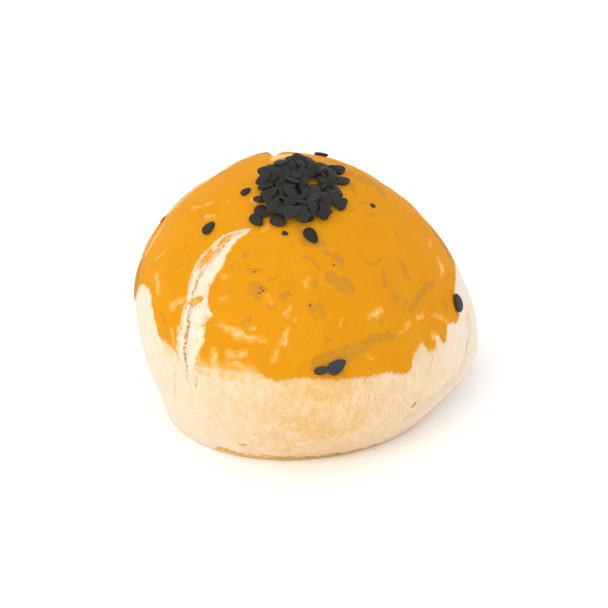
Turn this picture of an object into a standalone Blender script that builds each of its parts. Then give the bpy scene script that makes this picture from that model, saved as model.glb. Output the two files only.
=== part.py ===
"""Egg yolk pastry: a domed bun of flaky dough, glazed on top and strewn with black sesame.

One solid, named pastry: the uneven bun on its flat base, the edge of the glaze round its
sides, the split in its crust at the front left, and the seeds baked onto it.
+Z is up and -Y is the front. The origin is under the middle of the bun, on the base.
A direction is an angle about +Z in degrees, counted from +X, and -90 is the front.
"""

import math
import random

import bmesh
import bpy
from mathutils import Matrix, Vector

# Bun (metres)
RADIUS = 0.0300             # mean radius at its widest
HEIGHT = 0.0442
BASE_RADIUS = 0.02375
BASE_ROUNDING = 0.0012      # rounded edge of the flat base
ROUNDING_ANGLES = (30, 60, 90)
DOME_POWER = 1.67           # how full the dome is: 2 is an ellipse, 1 a cone
FOOT_POWER = 1.35           # how the side curls in towards the base
DOME_EASE = 0.08            # how gently the dome starts from the widest girth
FOOT_EASE = 0.20            # and how gently the foot does
WIDEST_LEVEL = 0.0125       # mean height of the widest girth
WIDEST_SWING = 0.0077       # it dips this much on one side and climbs as much on the other
DIP_DIRECTION = 33.5        # where the widest girth is lowest
LEAN = (-0.00135, 0.00135)  # how far the top leans over
AXIS = (-0.0009, -0.0001)   # foot of the bun's axis, which puts the whole over the origin
BELLY_WAVES = ((1, 0.0147, 32), (2, 0.0182, 58), (3, 0.0322, 15), (4, 0.0257, 23))
FOOT_WAVES = ((1, 0.0326, -163), (2, 0.0324, 64), (3, 0.0391, -25))

# Glaze, as a low step in the crust (metres)
GLAZE_STEP = 0.00025
GLAZE_LEVEL = 0.0200        # mean height of its lower edge
GLAZE_FADE = 0.0050         # the dough regains its full girth this far below the edge
GLAZE_EDGE = (              # direction and height of the lower edge, once round the bun
    (-180, 0.0212), (-166, 0.0220), (-161, 0.0256), (-153, 0.0256), (-147, 0.0232),
    (-141, 0.0199), (-129, 0.0187), (-115, 0.0191), (-102, 0.0202), (-90, 0.0205),
    (-75, 0.0193), (-59, 0.0179), (-45, 0.0171), (-27, 0.0163), (-20, 0.0180),
    (-13, 0.0158), (-4, 0.0193), (6, 0.0215), (25, 0.0208), (50, 0.0196),
    (75, 0.0207), (100, 0.0194), (125, 0.0208), (150, 0.0199), (180, 0.0212),
)

# Split in the crust: direction, height and width along it, top to bottom
SPLIT = (
    (-118.6, 0.0393, 0.0005), (-122.4, 0.0386, 0.0015), (-127.2, 0.0375, 0.0028),
    (-129.1, 0.0360, 0.0037), (-129.8, 0.0343, 0.0044), (-130.2, 0.0325, 0.0042),
    (-129.3, 0.0304, 0.0041), (-127.7, 0.0280, 0.0046), (-127.3, 0.0254, 0.0045),
    (-127.4, 0.0230, 0.0041), (-128.2, 0.0206, 0.0032), (-129.0, 0.0180, 0.0020),
    (-129.6, 0.0152, 0.0006),
)
SPLIT_DEPTH = (0.00020, 0.19)   # least depth, and its growth with the width

# Sesame seeds (metres)
SEED_LENGTH = 0.00295
SEED_WIDTH = 0.0021
SEED_THICKNESS = 0.00095
SEED_TAPER = 0.30           # one end is narrower by this share, the other wider
SEED_SIZES = (0.90, 1.08)   # the heap's seeds vary in size by these factors
SEED_SINK = 0.00022         # how deep a seed sits in what it lies on
SEED_TILT = 14              # most random tilt of a seed in the heap, in degrees
LONE_TILT = 4               # and of a lone one
SEED_LEAN = 0.35            # how much a seed leans away from one that it lies on
RANDOM_SEED = 12

# Lone seeds: direction, height, turn in the crust's plane (0 level, 90 up it) and size
LONE_SEEDS = (
    (-142.0, 0.0376, 90, 0.92), (-116.5, 0.0399, -36, 1.02), (-81.0, 0.0385, -68, 1.05),
    (-96.5, 0.0390, -20, 0.38), (-142.5, 0.0418, 78, 0.66), (60.3, 0.0413, 22, 0.85),
    (-68.2, 0.0401, -85, 0.60), (-18.2, 0.0380, -31, 0.42), (-9.5, 0.0193, 88, 1.18),
    (-82.7, 0.0213, 5, 0.95), (-77.9, 0.0218, 32, 1.15),
)

# Heap of seeds on the top: those at its ragged rim by x, y and turn, then the rest by a rule
RIM_SEEDS = (
    (-0.0049, -0.0008, -5), (-0.0027, 0.0015, -5), (-0.0001, 0.0017, -58),
    (0.0025, 0.0006, 5), (0.0051, 0.0014, 54), (0.0058, -0.0013, 43),
    (0.0043, -0.0051, -19), (0.0053, -0.0072, 41), (0.0024, -0.0098, -11),
    (-0.0006, -0.0116, -15), (-0.0050, -0.0124, -41), (-0.0076, -0.0104, -46),
    (-0.0078, -0.0081, 8), (-0.0070, -0.0064, -42), (-0.0072, -0.0036, -15),
    (-0.0059, -0.0092, 35), (-0.0034, -0.0108, 62), (0.0041, -0.0001, 15),
    (0.0040, -0.0026, -40),
)
HEAP_MIDDLE = (-0.0017, -0.0059)
HEAP_REACH = (0.0064, 0.0064)   # reach of the inner seeds along x and y
INNER_SEEDS = 58
INNER_JITTER = 0.0004
GAP_MIDDLE = (0.0004, -0.0042)  # a bare spot in the heap
GAP_REACH = 0.0013
GOLDEN_ANGLE = math.pi * (3 - math.sqrt(5))

# Fineness of the mesh
COLUMNS = 72
DOME_RINGS = 18
SIDE_RINGS = 9
SPLIT_SIDES = 2             # bevel resolution of the split's cutter
SEED_SIDES = 6
SEED_BANDS = 4
SHARP_ANGLE = 35
NEAR = 0.0001               # step that measures the surface's slope
PLACE_ROUNDS = 6            # rounds that find the surface below a point of the leaning top
WELD = 0.00001
FUSE_WELD = 0.000002        # joins the slivers where seeds meet


def new_material(name, colour, roughness):
    """A plain Principled material."""
    material = bpy.data.materials.new(name)
    material.use_nodes = True
    shader = material.node_tree.nodes["Principled BSDF"]
    shader.inputs["Base Color"].default_value = (*colour, 1)
    shader.inputs["Roughness"].default_value = roughness
    shader.inputs["Metallic"].default_value = 0
    return material


def waves(terms, turn):
    """Sum of cosine waves round the bun, about 1. Each has an order, a share and a peak."""
    return 1 + sum(share * math.cos(order * (turn - math.radians(peak)))
                   for order, share, peak in terms)


def eased(share, ease):
    """A share from 0 to 1 that starts slowly."""
    return (math.hypot(share, ease) - ease) / (math.hypot(1, ease) - ease)


def uneased(share, ease):
    """The share that eased() turns into this one."""
    return math.sqrt((share * (math.hypot(1, ease) - ease) + ease) ** 2 - ease ** 2)


def side_radius(height, belly, foot, widest):
    """Radius at a height on a side that is widest at one level and curls in to its foot."""
    if height > widest:
        climb = eased(min((height - widest) / (HEIGHT - widest), 1), DOME_EASE)
        return belly * (1 - climb ** DOME_POWER) ** (1 / DOME_POWER)
    drop = eased(1 - height / widest, FOOT_EASE)
    return foot + (belly - foot) * (1 - drop ** FOOT_POWER)


def even_radius(height):
    """Radius of the plain turned bun."""
    return side_radius(height, RADIUS, BASE_RADIUS, WIDEST_LEVEL)


def widest_level(turn):
    """Height of the widest girth in a direction."""
    return WIDEST_LEVEL - WIDEST_SWING * math.cos(turn - math.radians(DIP_DIRECTION))


def uneven_radius(turn, height):
    """Radius of the real, lopsided bun."""
    belly = RADIUS * waves(BELLY_WAVES, turn)
    foot = BASE_RADIUS * waves(FOOT_WAVES, turn)
    return side_radius(height, belly, foot, widest_level(turn))


def leant(radius, turn, height):
    """The point at a radius, direction and height on the leaning bun."""
    share = height / HEIGHT
    return Vector((
        AXIS[0] + radius * math.cos(turn) + LEAN[0] * share,
        AXIS[1] + radius * math.sin(turn) + LEAN[1] * share,
        height,
    ))


def skin(turn, height):
    """A point of the bun's surface."""
    return leant(uneven_radius(turn, height), turn, height)


def skin_axes(turn, height):
    """The level direction, the uphill direction and the normal at a point of the surface."""
    level = skin(turn + NEAR / RADIUS, height) - skin(turn - NEAR / RADIUS, height)
    uphill = skin(turn, height + NEAR) - skin(turn, height - NEAR)
    normal = level.cross(uphill).normalized()
    level.normalize()
    return level, normal.cross(level), normal


def place_under(x, y):
    """The direction and height of the dome's surface straight below the point (x, y)."""
    height = HEIGHT
    for _ in range(PLACE_ROUNDS):
        east = x - AXIS[0] - LEAN[0] * height / HEIGHT
        north = y - AXIS[1] - LEAN[1] * height / HEIGHT
        turn = math.atan2(north, east)
        share = math.hypot(east, north) / (RADIUS * waves(BELLY_WAVES, turn))
        climb = uneased((1 - share ** DOME_POWER) ** (1 / DOME_POWER), DOME_EASE)
        height = widest_level(turn) + (HEIGHT - widest_level(turn)) * climb
    return turn, height


def glaze_edge(turn):
    """Height of the glaze's lower edge in a direction."""
    degrees = math.degrees(turn)
    for (start, low), (end, high) in zip(GLAZE_EDGE, GLAZE_EDGE[1:]):
        if start <= degrees <= end:
            share = (degrees - start) / (end - start)
            ease = share * share * (3 - 2 * share)
            return low + (high - low) * ease
    return GLAZE_LEVEL


def bun_profile():
    """Radius and height down the side of the plain bun, from its top to the base's middle."""
    rings = []
    for step in range(DOME_RINGS):
        angle = math.pi / 2 * step / DOME_RINGS
        height = GLAZE_LEVEL + (HEIGHT - GLAZE_LEVEL) * math.cos(angle)
        rings.append((even_radius(height), height))
    rings.append((even_radius(GLAZE_LEVEL), GLAZE_LEVEL))
    top = GLAZE_LEVEL - GLAZE_STEP
    for step in range(SIDE_RINGS):
        height = top + (BASE_ROUNDING - top) * step / (SIDE_RINGS - 1)
        inset = GLAZE_STEP * max(0, 1 - (top - height) / GLAZE_FADE)
        rings.append((even_radius(height) - inset, height))
    for angle in map(math.radians, ROUNDING_ANGLES):
        height = BASE_ROUNDING * (1 - math.sin(angle))
        rings.append((even_radius(height) - BASE_ROUNDING * (1 - math.cos(angle)), height))
    rings.append((0, 0))
    return rings


def turned_bun(name, collection):
    """The plain bun, turned from its profile with a Screw modifier."""
    points = [(radius, 0, height) for radius, height in bun_profile()]
    mesh = bpy.data.meshes.new(name)
    mesh.from_pydata(points, [(i, i + 1) for i in range(len(points) - 1)], [])
    bun = bpy.data.objects.new(name, mesh)
    collection.objects.link(bun)
    screw = bun.modifiers.new("Turn", "SCREW")
    screw.steps = COLUMNS
    screw.render_steps = COLUMNS
    screw.use_merge_vertices = True
    screw.merge_threshold = WELD
    apply_modifiers(bun)
    return bun


def make_uneven(bun):
    """Moves the turned bun's rings to the glaze's edge and out to the lopsided form."""
    for vertex in bun.data.vertices:
        x, y, height = vertex.co
        turn = math.atan2(y, x)
        edge = glaze_edge(turn)
        if height > GLAZE_LEVEL:
            level = HEIGHT - (HEIGHT - height) * (HEIGHT - edge) / (HEIGHT - GLAZE_LEVEL)
        else:
            level = height * edge / GLAZE_LEVEL
        radius = 0
        if math.hypot(x, y) > WELD:
            radius = math.hypot(x, y) * uneven_radius(turn, level) / even_radius(height)
        vertex.co = leant(radius, turn, level)


def apply_modifiers(thing):
    """Turns an object's evaluated shape into its mesh."""
    graph = bpy.context.evaluated_depsgraph_get()
    mesh = bpy.data.meshes.new_from_object(thing.evaluated_get(graph))
    thing.modifiers.clear()
    thing.data = mesh


def split_cutter(collection, material):
    """The cutter of the split: a tube that tapers to both ends, half sunk in the crust."""
    curve = bpy.data.curves.new("split cutter", "CURVE")
    curve.dimensions = "3D"
    curve.bevel_depth = 1
    curve.bevel_resolution = SPLIT_SIDES
    curve.use_fill_caps = True
    path = curve.splines.new("POLY")
    path.points.add(len(SPLIT) - 1)
    for point, (direction, height, width) in zip(path.points, SPLIT):
        turn = math.radians(direction)
        depth = SPLIT_DEPTH[0] + SPLIT_DEPTH[1] * width
        radius = (width * width / 4 + depth * depth) / (2 * depth)
        centre = skin(turn, height) + skin_axes(turn, height)[2] * (radius - depth)
        point.co = (*centre, 1)
        point.radius = radius
    tube = bpy.data.objects.new("split cutter", curve)
    collection.objects.link(tube)
    graph = bpy.context.evaluated_depsgraph_get()
    mesh = bpy.data.meshes.new_from_object(tube.evaluated_get(graph))
    shape = bmesh.new()
    shape.from_mesh(mesh)
    bmesh.ops.remove_doubles(shape, verts=shape.verts, dist=WELD)
    shape.to_mesh(mesh)
    shape.free()
    mesh.materials.append(material)
    cutter = bpy.data.objects.new("split_cutter", mesh)
    cutter.matrix_world = tube.matrix_world
    collection.objects.link(cutter)
    bpy.data.objects.remove(tube)
    cutter.hide_render = True
    cutter.display_type = "WIRE"
    return cutter


def seed_mesh(material):
    """One sesame seed, a flat drop along +X, with few sides."""
    shape = bmesh.new()
    bmesh.ops.create_uvsphere(shape, u_segments=SEED_SIDES, v_segments=SEED_BANDS, radius=1)
    bmesh.ops.rotate(shape, verts=shape.verts, matrix=Matrix.Rotation(math.pi / 2, 3, "Y"))
    flat_of_side = max(vertex.co.z for vertex in shape.verts)
    for vertex in shape.verts:
        vertex.co.y *= SEED_WIDTH / 2 * (1 - SEED_TAPER * vertex.co.x)
        vertex.co.z *= SEED_THICKNESS / 2 / flat_of_side
        vertex.co.x *= SEED_LENGTH / 2
    mesh = bpy.data.meshes.new("seed")
    shape.to_mesh(mesh)
    shape.free()
    mesh.materials.append(material)
    return mesh


def lay_seed(turn, height, aim, size, lift, tilt):
    """The matrix of a seed that lies on the crust, raised by lift and tilted by a vector."""
    level, uphill, normal = skin_axes(turn, height)
    up = (normal + tilt).normalized()
    along = level * math.cos(aim) + uphill * math.sin(aim)
    across = up.cross(along).normalized()
    along = across.cross(up)
    middle = skin(turn, height) + normal * (SEED_THICKNESS * size / 2 - SEED_SINK + lift)
    turned = Matrix((along, across, up)).transposed().to_4x4()
    return Matrix.Translation(middle) @ turned @ Matrix.Scale(size, 4)


def random_tilt(draw, angle):
    """A small vector that tilts a seed's normal by up to about an angle in degrees."""
    most = math.tan(math.radians(angle))
    return Vector([draw.uniform(-most, most) for _ in range(3)])


def heap_spots(draw):
    """x, y and turn of each seed of the heap: its rim, then the seeds within in mixed order."""
    inner = []
    for count in range(INNER_SEEDS):
        share = math.sqrt((count + 0.5) / INNER_SEEDS)
        bearing = count * GOLDEN_ANGLE
        x = HEAP_MIDDLE[0] + HEAP_REACH[0] * share * math.cos(bearing)
        y = HEAP_MIDDLE[1] + HEAP_REACH[1] * share * math.sin(bearing)
        x += draw.uniform(-INNER_JITTER, INNER_JITTER)
        y += draw.uniform(-INNER_JITTER, INNER_JITTER)
        if math.dist((x, y), GAP_MIDDLE) > GAP_REACH:
            inner.append((x, y, draw.uniform(0, 360)))
    draw.shuffle(inner)
    return list(RIM_SEEDS) + inner


def heap_matrices(draw):
    """Matrices of the heap's seeds: each lies on the crust, or leans on those under it."""
    spread = (SEED_LENGTH + SEED_WIDTH) / 2
    laid = []
    matrices = []
    for x, y, direction in heap_spots(draw):
        lift = 0
        tilt = random_tilt(draw, SEED_TILT)
        for other_x, other_y, other_lift in laid:
            apart = math.dist((x, y), (other_x, other_y)) / spread
            if apart < 1:
                rise = (SEED_THICKNESS - SEED_SINK) * math.sqrt(1 - apart * apart)
                lift = max(lift, other_lift * (1 - apart) + rise)
                tilt += Vector((x - other_x, y - other_y, 0)) * SEED_LEAN / spread
        laid.append((x, y, lift))
        turn, height = place_under(x, y)
        aim = math.radians(direction - 90) - turn
        matrices.append(lay_seed(turn, height, aim, draw.uniform(*SEED_SIZES), lift, tilt))
    return matrices


def lone_matrices(draw):
    """Matrices of the seeds that lie by themselves."""
    return [lay_seed(math.radians(direction), height, math.radians(aim), size, 0,
                     random_tilt(draw, LONE_TILT))
            for direction, height, aim, size in LONE_SEEDS]


def strew_seeds(collection, material):
    """Every seed as an object that shares one mesh."""
    draw = random.Random(RANDOM_SEED)
    mesh = seed_mesh(material)
    for matrix in heap_matrices(draw) + lone_matrices(draw):
        seed = bpy.data.objects.new("seed", mesh)
        seed.matrix_world = matrix
        collection.objects.link(seed)


def keep_outer_body(mesh):
    """Keeps the largest connected body, without loose scraps and sealed hollows."""
    shape = bmesh.new()
    shape.from_mesh(mesh)
    bmesh.ops.remove_doubles(shape, verts=shape.verts, dist=FUSE_WELD)
    bmesh.ops.dissolve_degenerate(shape, edges=shape.edges, dist=FUSE_WELD)
    bodies = []
    unseen = set(shape.verts)
    while unseen:
        body = {unseen.pop()}
        front = list(body)
        while front:
            vertex = front.pop()
            for edge in vertex.link_edges:
                other = edge.other_vert(vertex)
                if other in unseen:
                    unseen.remove(other)
                    body.add(other)
                    front.append(other)
        bodies.append(body)
    largest = max(bodies, key=len)
    scraps = [vertex for vertex in shape.verts if vertex not in largest]
    bmesh.ops.delete(shape, geom=scraps, context="VERTS")
    shape.to_mesh(mesh)
    shape.free()


for leftover in list(bpy.data.objects):
    bpy.data.objects.remove(leftover)

parts = bpy.data.collections.new("Egg yolk pastry")
cutters = bpy.data.collections.new("Cutters")
seeds = bpy.data.collections.new("Seeds")
for collection in (parts, cutters, seeds):
    bpy.context.scene.collection.children.link(collection)

crust = new_material("glazed crust", (0.86, 0.35, 0.02), 0.35)
dough = new_material("pale dough", (0.94, 0.78, 0.52), 0.75)
sesame = new_material("black sesame", (0.035, 0.033, 0.03), 0.6)

pastry = turned_bun("pastry", parts)
make_uneven(pastry)
for material in (crust, dough):
    pastry.data.materials.append(material)
for face in pastry.data.polygons:
    centre = face.center
    turn = math.atan2(centre.y - AXIS[1], centre.x - AXIS[0])
    face.material_index = int(centre.z < glaze_edge(turn))

split = pastry.modifiers.new("Split", "BOOLEAN")
split.operation = "DIFFERENCE"
split.object = split_cutter(cutters, dough)
split.material_mode = "TRANSFER"
apply_modifiers(pastry)

strew_seeds(seeds, sesame)
fuse = pastry.modifiers.new("Fuse seeds", "BOOLEAN")
fuse.operation = "UNION"
fuse.operand_type = "COLLECTION"
fuse.collection = seeds
fuse.material_mode = "TRANSFER"
apply_modifiers(pastry)
for seed in list(seeds.objects):
    bpy.data.objects.remove(seed)
bpy.data.collections.remove(seeds)
keep_outer_body(pastry.data)

pastry.data.shade_smooth()
pastry.data.set_sharp_from_angle(angle=math.radians(SHARP_ANGLE))
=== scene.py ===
"""Looks of an egg yolk pastry: pale flaky dough, golden glaze and black sesame seeds."""

import math
import random

import bmesh
import bpy
import numpy as np
from mathutils import Matrix, Vector, noise


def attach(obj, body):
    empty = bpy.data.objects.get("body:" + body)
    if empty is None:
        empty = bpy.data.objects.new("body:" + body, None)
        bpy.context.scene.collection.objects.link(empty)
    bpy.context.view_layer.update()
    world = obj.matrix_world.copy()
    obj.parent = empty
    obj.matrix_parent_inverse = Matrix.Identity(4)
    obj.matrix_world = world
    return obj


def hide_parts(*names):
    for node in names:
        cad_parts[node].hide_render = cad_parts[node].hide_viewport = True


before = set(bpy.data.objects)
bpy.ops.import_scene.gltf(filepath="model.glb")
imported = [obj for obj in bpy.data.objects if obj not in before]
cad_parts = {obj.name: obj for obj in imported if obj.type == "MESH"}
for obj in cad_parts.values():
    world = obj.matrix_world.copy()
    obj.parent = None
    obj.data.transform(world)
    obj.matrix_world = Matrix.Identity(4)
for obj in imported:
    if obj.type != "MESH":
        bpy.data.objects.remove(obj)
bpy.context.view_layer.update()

# ---------------------------------------------------------------------------------------
# Dough: the bun's body, of water dough and oil dough rolled into thin layers round a
# filling. It stands on its gathered seam and is baked pale, with a toasted rim below.
# ---------------------------------------------------------------------------------------

# The bun's form (metres). A direction is an angle about +Z from +X, and -90 is the front.
RADIUS = 0.0300
HEIGHT = 0.0442
BASE_RADIUS = 0.02375
BASE_ROUNDING = 0.0003
DOME_POWER = 1.67
FOOT_POWER = 1.35
DOME_EASE = 0.08
FOOT_EASE = 0.20
WIDEST_LEVEL = 0.0125
WIDEST_SWING = 0.0077
DIP_DIRECTION = 33.5
LEAN = (-0.00135, 0.00135)
AXIS = (-0.0009, -0.0001)
BELLY_WAVES = ((1, 0.0147, 32), (2, 0.0182, 58), (3, 0.0322, 15), (4, 0.0257, 23))
FOOT_WAVES = ((1, 0.0326, -163), (2, 0.0324, 64), (3, 0.0391, -25))
NEAR = 0.0001               # step that measures the surface's slope

# The glaze's lower edge by direction and height, which the dough's step follows
GLAZE_EDGE = (
    (-180, 0.0212), (-170, 0.0211), (-165.2, 0.0214), (-163.6, 0.0228), (-162.4, 0.0250),
    (-160, 0.0259), (-155, 0.0264), (-151.2, 0.0261), (-147.6, 0.0245), (-144.8, 0.0230),
    (-142.8, 0.0207), (-140, 0.0197), (-134.5, 0.0192), (-129, 0.0188), (-124, 0.0184),
    (-115, 0.0191), (-102, 0.0200), (-97, 0.0197), (-90, 0.0203), (-75, 0.0193),
    (-61, 0.0183), (-56.5, 0.0175), (-53.2, 0.0165), (-50.6, 0.0163), (-48.6, 0.0169),
    (-47.2, 0.0178), (-44.5, 0.0178), (-42, 0.0182), (-40, 0.0185), (-38.6, 0.0176),
    (-37.4, 0.0165), (-35.6, 0.0161), (-33.2, 0.0160), (-32, 0.0165), (-31, 0.0176),
    (-29.4, 0.0177), (-28.3, 0.0168), (-27, 0.0161), (-25.2, 0.0160), (-23.4, 0.0168),
    (-22, 0.0178), (-20, 0.0181), (-17.5, 0.0176), (-14, 0.0168), (-11, 0.0170),
    (-8, 0.0206), (-3, 0.0214), (4, 0.0220), (12, 0.0216), (25, 0.0208), (50, 0.0196),
    (75, 0.0207), (100, 0.0194), (125, 0.0208), (150, 0.0199), (180, 0.0212),
)
SCALLOPS = ((61, 0.00007, 20), (97, 0.00009, 140), (149, 0.00008, 70), (211, 0.00006, 10))
GLAZE_STEP = 0.00025        # thickness of the glaze at its edge
GLAZE_FADE = 0.0050         # the dough regains its full girth this far below the edge
UNDER_GLAZE = 0.00045       # depth of the dough below the glaze's surface
SOFT_STRETCHES = (          # where the edge fades out: direction, reach and share
    (-114, 13, 1.0), (-135, 7, 0.7), (-37, 10, 0.6), (-152, 10, 0.20), (-76, 28, 0.10),
    (40, 30, 0.6), (120, 25, 0.8),
)
SOFT_FADE = (0.6, 1.2)      # shares of its reach over which a soft stretch ends
SOFT_THINNING = 0.8         # share of the edge's step that is lost there

# The split in the crust: its left and right edges, by direction and height
SPLIT_LEFT = (
    (-119.0, 0.0391), (-124.2, 0.0386), (-127.7, 0.0383), (-130.2, 0.0379),
    (-132.2, 0.0372), (-133.2, 0.0364), (-134.5, 0.0357), (-135.7, 0.0350),
    (-135.8, 0.0334), (-135.4, 0.0323), (-134.0, 0.0308), (-133.6, 0.0299),
    (-132.5, 0.0290), (-132.8, 0.0279), (-132.4, 0.0268), (-131.8, 0.0258),
    (-132.5, 0.0245), (-132.5, 0.0220), (-133.0, 0.0203), (-132.4, 0.0187),
    (-131.6, 0.0172), (-130.4, 0.0160), (-129.7, 0.0148),
)
SPLIT_RIGHT = (
    (-118.2, 0.0391), (-119.7, 0.0385), (-122.9, 0.0379), (-123.4, 0.0372),
    (-124.1, 0.0358), (-123.6, 0.0345), (-125.0, 0.0334), (-125.7, 0.0325),
    (-125.6, 0.0314), (-125.0, 0.0303), (-123.2, 0.0290), (-121.1, 0.0282),
    (-122.6, 0.0274), (-123.2, 0.0268), (-122.8, 0.0259), (-122.3, 0.0248),
    (-122.6, 0.0236), (-123.5, 0.0224), (-124.8, 0.0209), (-125.6, 0.0194),
    (-126.8, 0.0180), (-128.2, 0.0164), (-129.3, 0.0148),
)
SPLIT_DEPTH = (0.00020, 0.19)   # least depth, and its growth with the width
SPLIT_SMOOTHING = 0.0003        # heights over which its edges are smoothed
SPLIT_TOP = 0.0391
SPLIT_END = 0.0148
SPLIT_TURN = -128.0             # where the mesh's columns gather for it
SPLIT_HALF_TURN = 4.8
SPLIT_PULL = 3.0                # half turns beside it over which the columns bend
SPLIT_RELAX = 0.0040            # heights past its lower end over which they straighten
SPLIT_NARROWEST = 0.00012       # half its width at its tips
SPLIT_FLATNESS = 4              # how level its floor is across
BEND_ROUNDS = 3                 # rounds in which the columns' bend and heights settle

# Marks on the bun are drawn by direction, height in millimetres and, where they are wider
# than a line, half width in millimetres. Hairline cracks in the dough:
CRACKS = (
    ((-135.2, 15.6), (-136.6, 13.2), (-138.0, 11.1), (-139.8, 8.6)),
    ((-153.0, 14.8), (-154.4, 13.5), (-155.0, 12.3)),
    ((-35.6, 15.6), (-37.2, 14.8), (-38.8, 13.6), (-39.2, 13.0)),
    ((-6.0, 12.4), (-8.4, 11.1), (-10.7, 9.5)),
    ((-130.2, 16.8), (-129.5, 16.3), (-130.4, 15.8)),
    ((-125.5, 16.8), (-125.7, 15.5), (-127.0, 14.0)),
    ((62.0, 13.0), (63.5, 10.5), (62.8, 8.4), (65.0, 6.1)),
    ((131.0, 17.2), (129.5, 15.1), (130.8, 12.7)),
)
CRACK_DEPTH = 0.00010
CRACK_REACH = 0.00022

# The crease at the right, where the dough was turned under. Its shade is also painted into the
# dough's colour.
TUCK = (
    ((-4.0, 15.2), (-6.0, 12.6), (-8.4, 10.8), (-11.5, 9.0), (-17.0, 8.0),
     (-25.0, 7.6), (-34.0, 7.3), (-42.0, 6.6), (-49.0, 6.1)),
)
TUCK_DEPTH = 0.00032
TUCK_REACH = 0.0016
TUCK_CRUMPLE = (0.0040, 0.0008)     # size and amount of the unevenness of its course

# Toasted specks
SPECKS = (
    ((-113.8, 3.3, 0.20), (-112.0, 3.4, 0.34)), ((-107.0, 6.7, 0.16),),
    ((-48.6, 9.0, 0.14), (-47.2, 9.6, 0.28)), ((-153.5, 13.6, 0.14),),
    ((-67.8, 15.0, 0.13),), ((-65.2, 14.5, 0.12),), ((-66.5, 17.6, 0.13),),
    ((-68.5, 18.2, 0.15),), ((-69.2, 17.6, 0.12),), ((-74.0, 18.5, 0.14),),
    ((-72.2, 17.6, 0.11),), ((-74.5, 17.8, 0.12),), ((-72.0, 14.4, 0.11),),
    ((-92.0, 11.7, 0.13),), ((-83.2, 9.6, 0.14),), ((-83.5, 17.5, 0.11),),
    ((-86.2, 13.8, 0.11),), ((-111.0, 17.3, 0.13),), ((-73.2, 3.9, 0.14),),
    ((-71.5, 4.3, 0.20),), ((-62.5, 14.6, 0.11),), ((-60.2, 15.0, 0.10),),
)
SPECK_CRUMPLE = (0.0005, 0.0001)

# Marks strewn over the back, between two directions. Each sort has a random seed, a number
# of marks, its heights and half widths, and how far a mark reaches up or down.
BACK = (38, 166)
BACK_SIDEWAYS = 3           # degrees a mark reaches sideways for each millimetre up or down
BACK_SPECKS = (3, 24, (2.5, 17.5), (0.10, 0.19), 0.2)

# Fineness of the mesh
FRONT_COLUMN = 0.50         # degrees between columns at the front
FRONT_END = 5               # direction at which the front ends
BACK_COLUMN = 0.80
SPLIT_COLUMN = 0.24
SPLIT_FINE = 1.5            # its fine columns reach this many half turns from its middle
SIDE_RINGS = 78
ROUND_RINGS = 5
BASE_RINGS = 10
HIDDEN_RINGS = 16

# The spot behind the seeds where a flake broke off
BROKEN = (
    ((134.0, 43.0, 0.4), (122.0, 42.7, 1.2), (112.5, 41.6, 1.6), (106.0, 39.9, 1.3),
     (104.5, 37.8, 0.8), (101.0, 36.2, 0.2)),
    ((114.0, 43.2, 0.6), (104.0, 42.5, 0.8), (98.5, 41.2, 0.4), (95.0, 40.0, 0.1)),
)
BROKEN_DEPTH = 0.00110
BROKEN_LEVEL = 0.034        # there is nothing of it below this height
BROKEN_RIM = (-0.0006, 0.0001)  # distances from its outline over which it rises
BROKEN_CRUMPLES = ((0.0030, 0.0010), (0.0009, 0.0004))

# The rest of the relief
OCTAVE_STEP = 2.0           # each octave of the relief is finer than the last by this
OCTAVE_FADE = 1.0           # and lower, by this power of it
CRUMPLE_SEED = 3            # of the moves that make the marks' outlines uneven
HOLLOW = (143.0, 36.4)      # the middle of a shallow hollow at the left shoulder
HOLLOW_REACH = 0.0066
HOLLOW_DEPTH = 0.00055
SWELL_SIZE = 0.0085         # broad unevenness, under dough and glaze alike
SWELL_DEPTH = 0.00026
SWELL_SINK = 0.62           # share of its depth that keeps it below the even form
SWELL_FOOT = 0.006          # it has its full depth from this height up
CREASE_SIZE = (0.0009, 0.0034)  # upright creases: their width and height
CREASE_DEPTH = 0.00009
LAYER_SIZE = 0.0026         # broken edges of layers near the base
LAYER_FLATNESS = 3          # they are this many times as long as high
LAYER_DEPTH = 0.00020
LAYER_HEIGHTS = (0.0015, 0.0045)    # heights over which they fade out
BASE_INNER = 0.06           # share of the radius where the base's innermost ring lies
BASE_RELIEF = 0.00012
BASE_RELIEF_SIZE = 0.003
BASE_FLATNESS = 8           # how level the base stays towards its rim
HIDDEN_DIP = 0.0016         # the dough hidden by the glaze dips this much below the split
HIDDEN_DIP_TURN = 0.16      # half of the dip's width, in radians
HIDDEN_DIP_TOP = 0.041
HIDDEN_TOP = 0.0002         # how much deeper the hidden dough's top lies


def waves(terms, turn):
    """Sum of cosine waves round the bun, about 1. Each has an order, a share and a peak."""
    return 1 + sum(share * np.cos(order * (turn - math.radians(peak)))
                   for order, share, peak in terms)


def eased(share, ease):
    """A share from 0 to 1 that starts slowly."""
    return (np.hypot(share, ease) - ease) / (math.hypot(1, ease) - ease)


def uneven_radius(turn, height):
    """Radius of the lopsided bun at each direction and height."""
    belly = RADIUS * waves(BELLY_WAVES, turn)
    foot = BASE_RADIUS * waves(FOOT_WAVES, turn)
    widest = WIDEST_LEVEL - WIDEST_SWING * np.cos(turn - math.radians(DIP_DIRECTION))
    climb = eased(np.clip((height - widest) / (HEIGHT - widest), 0, 1), DOME_EASE)
    drop = eased(np.clip(1 - height / widest, 0, 1), FOOT_EASE)
    dome = belly * np.maximum(1 - climb ** DOME_POWER, 0) ** (1 / DOME_POWER)
    side = foot + (belly - foot) * (1 - drop ** FOOT_POWER)
    return np.where(height > widest, dome, side)


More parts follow.
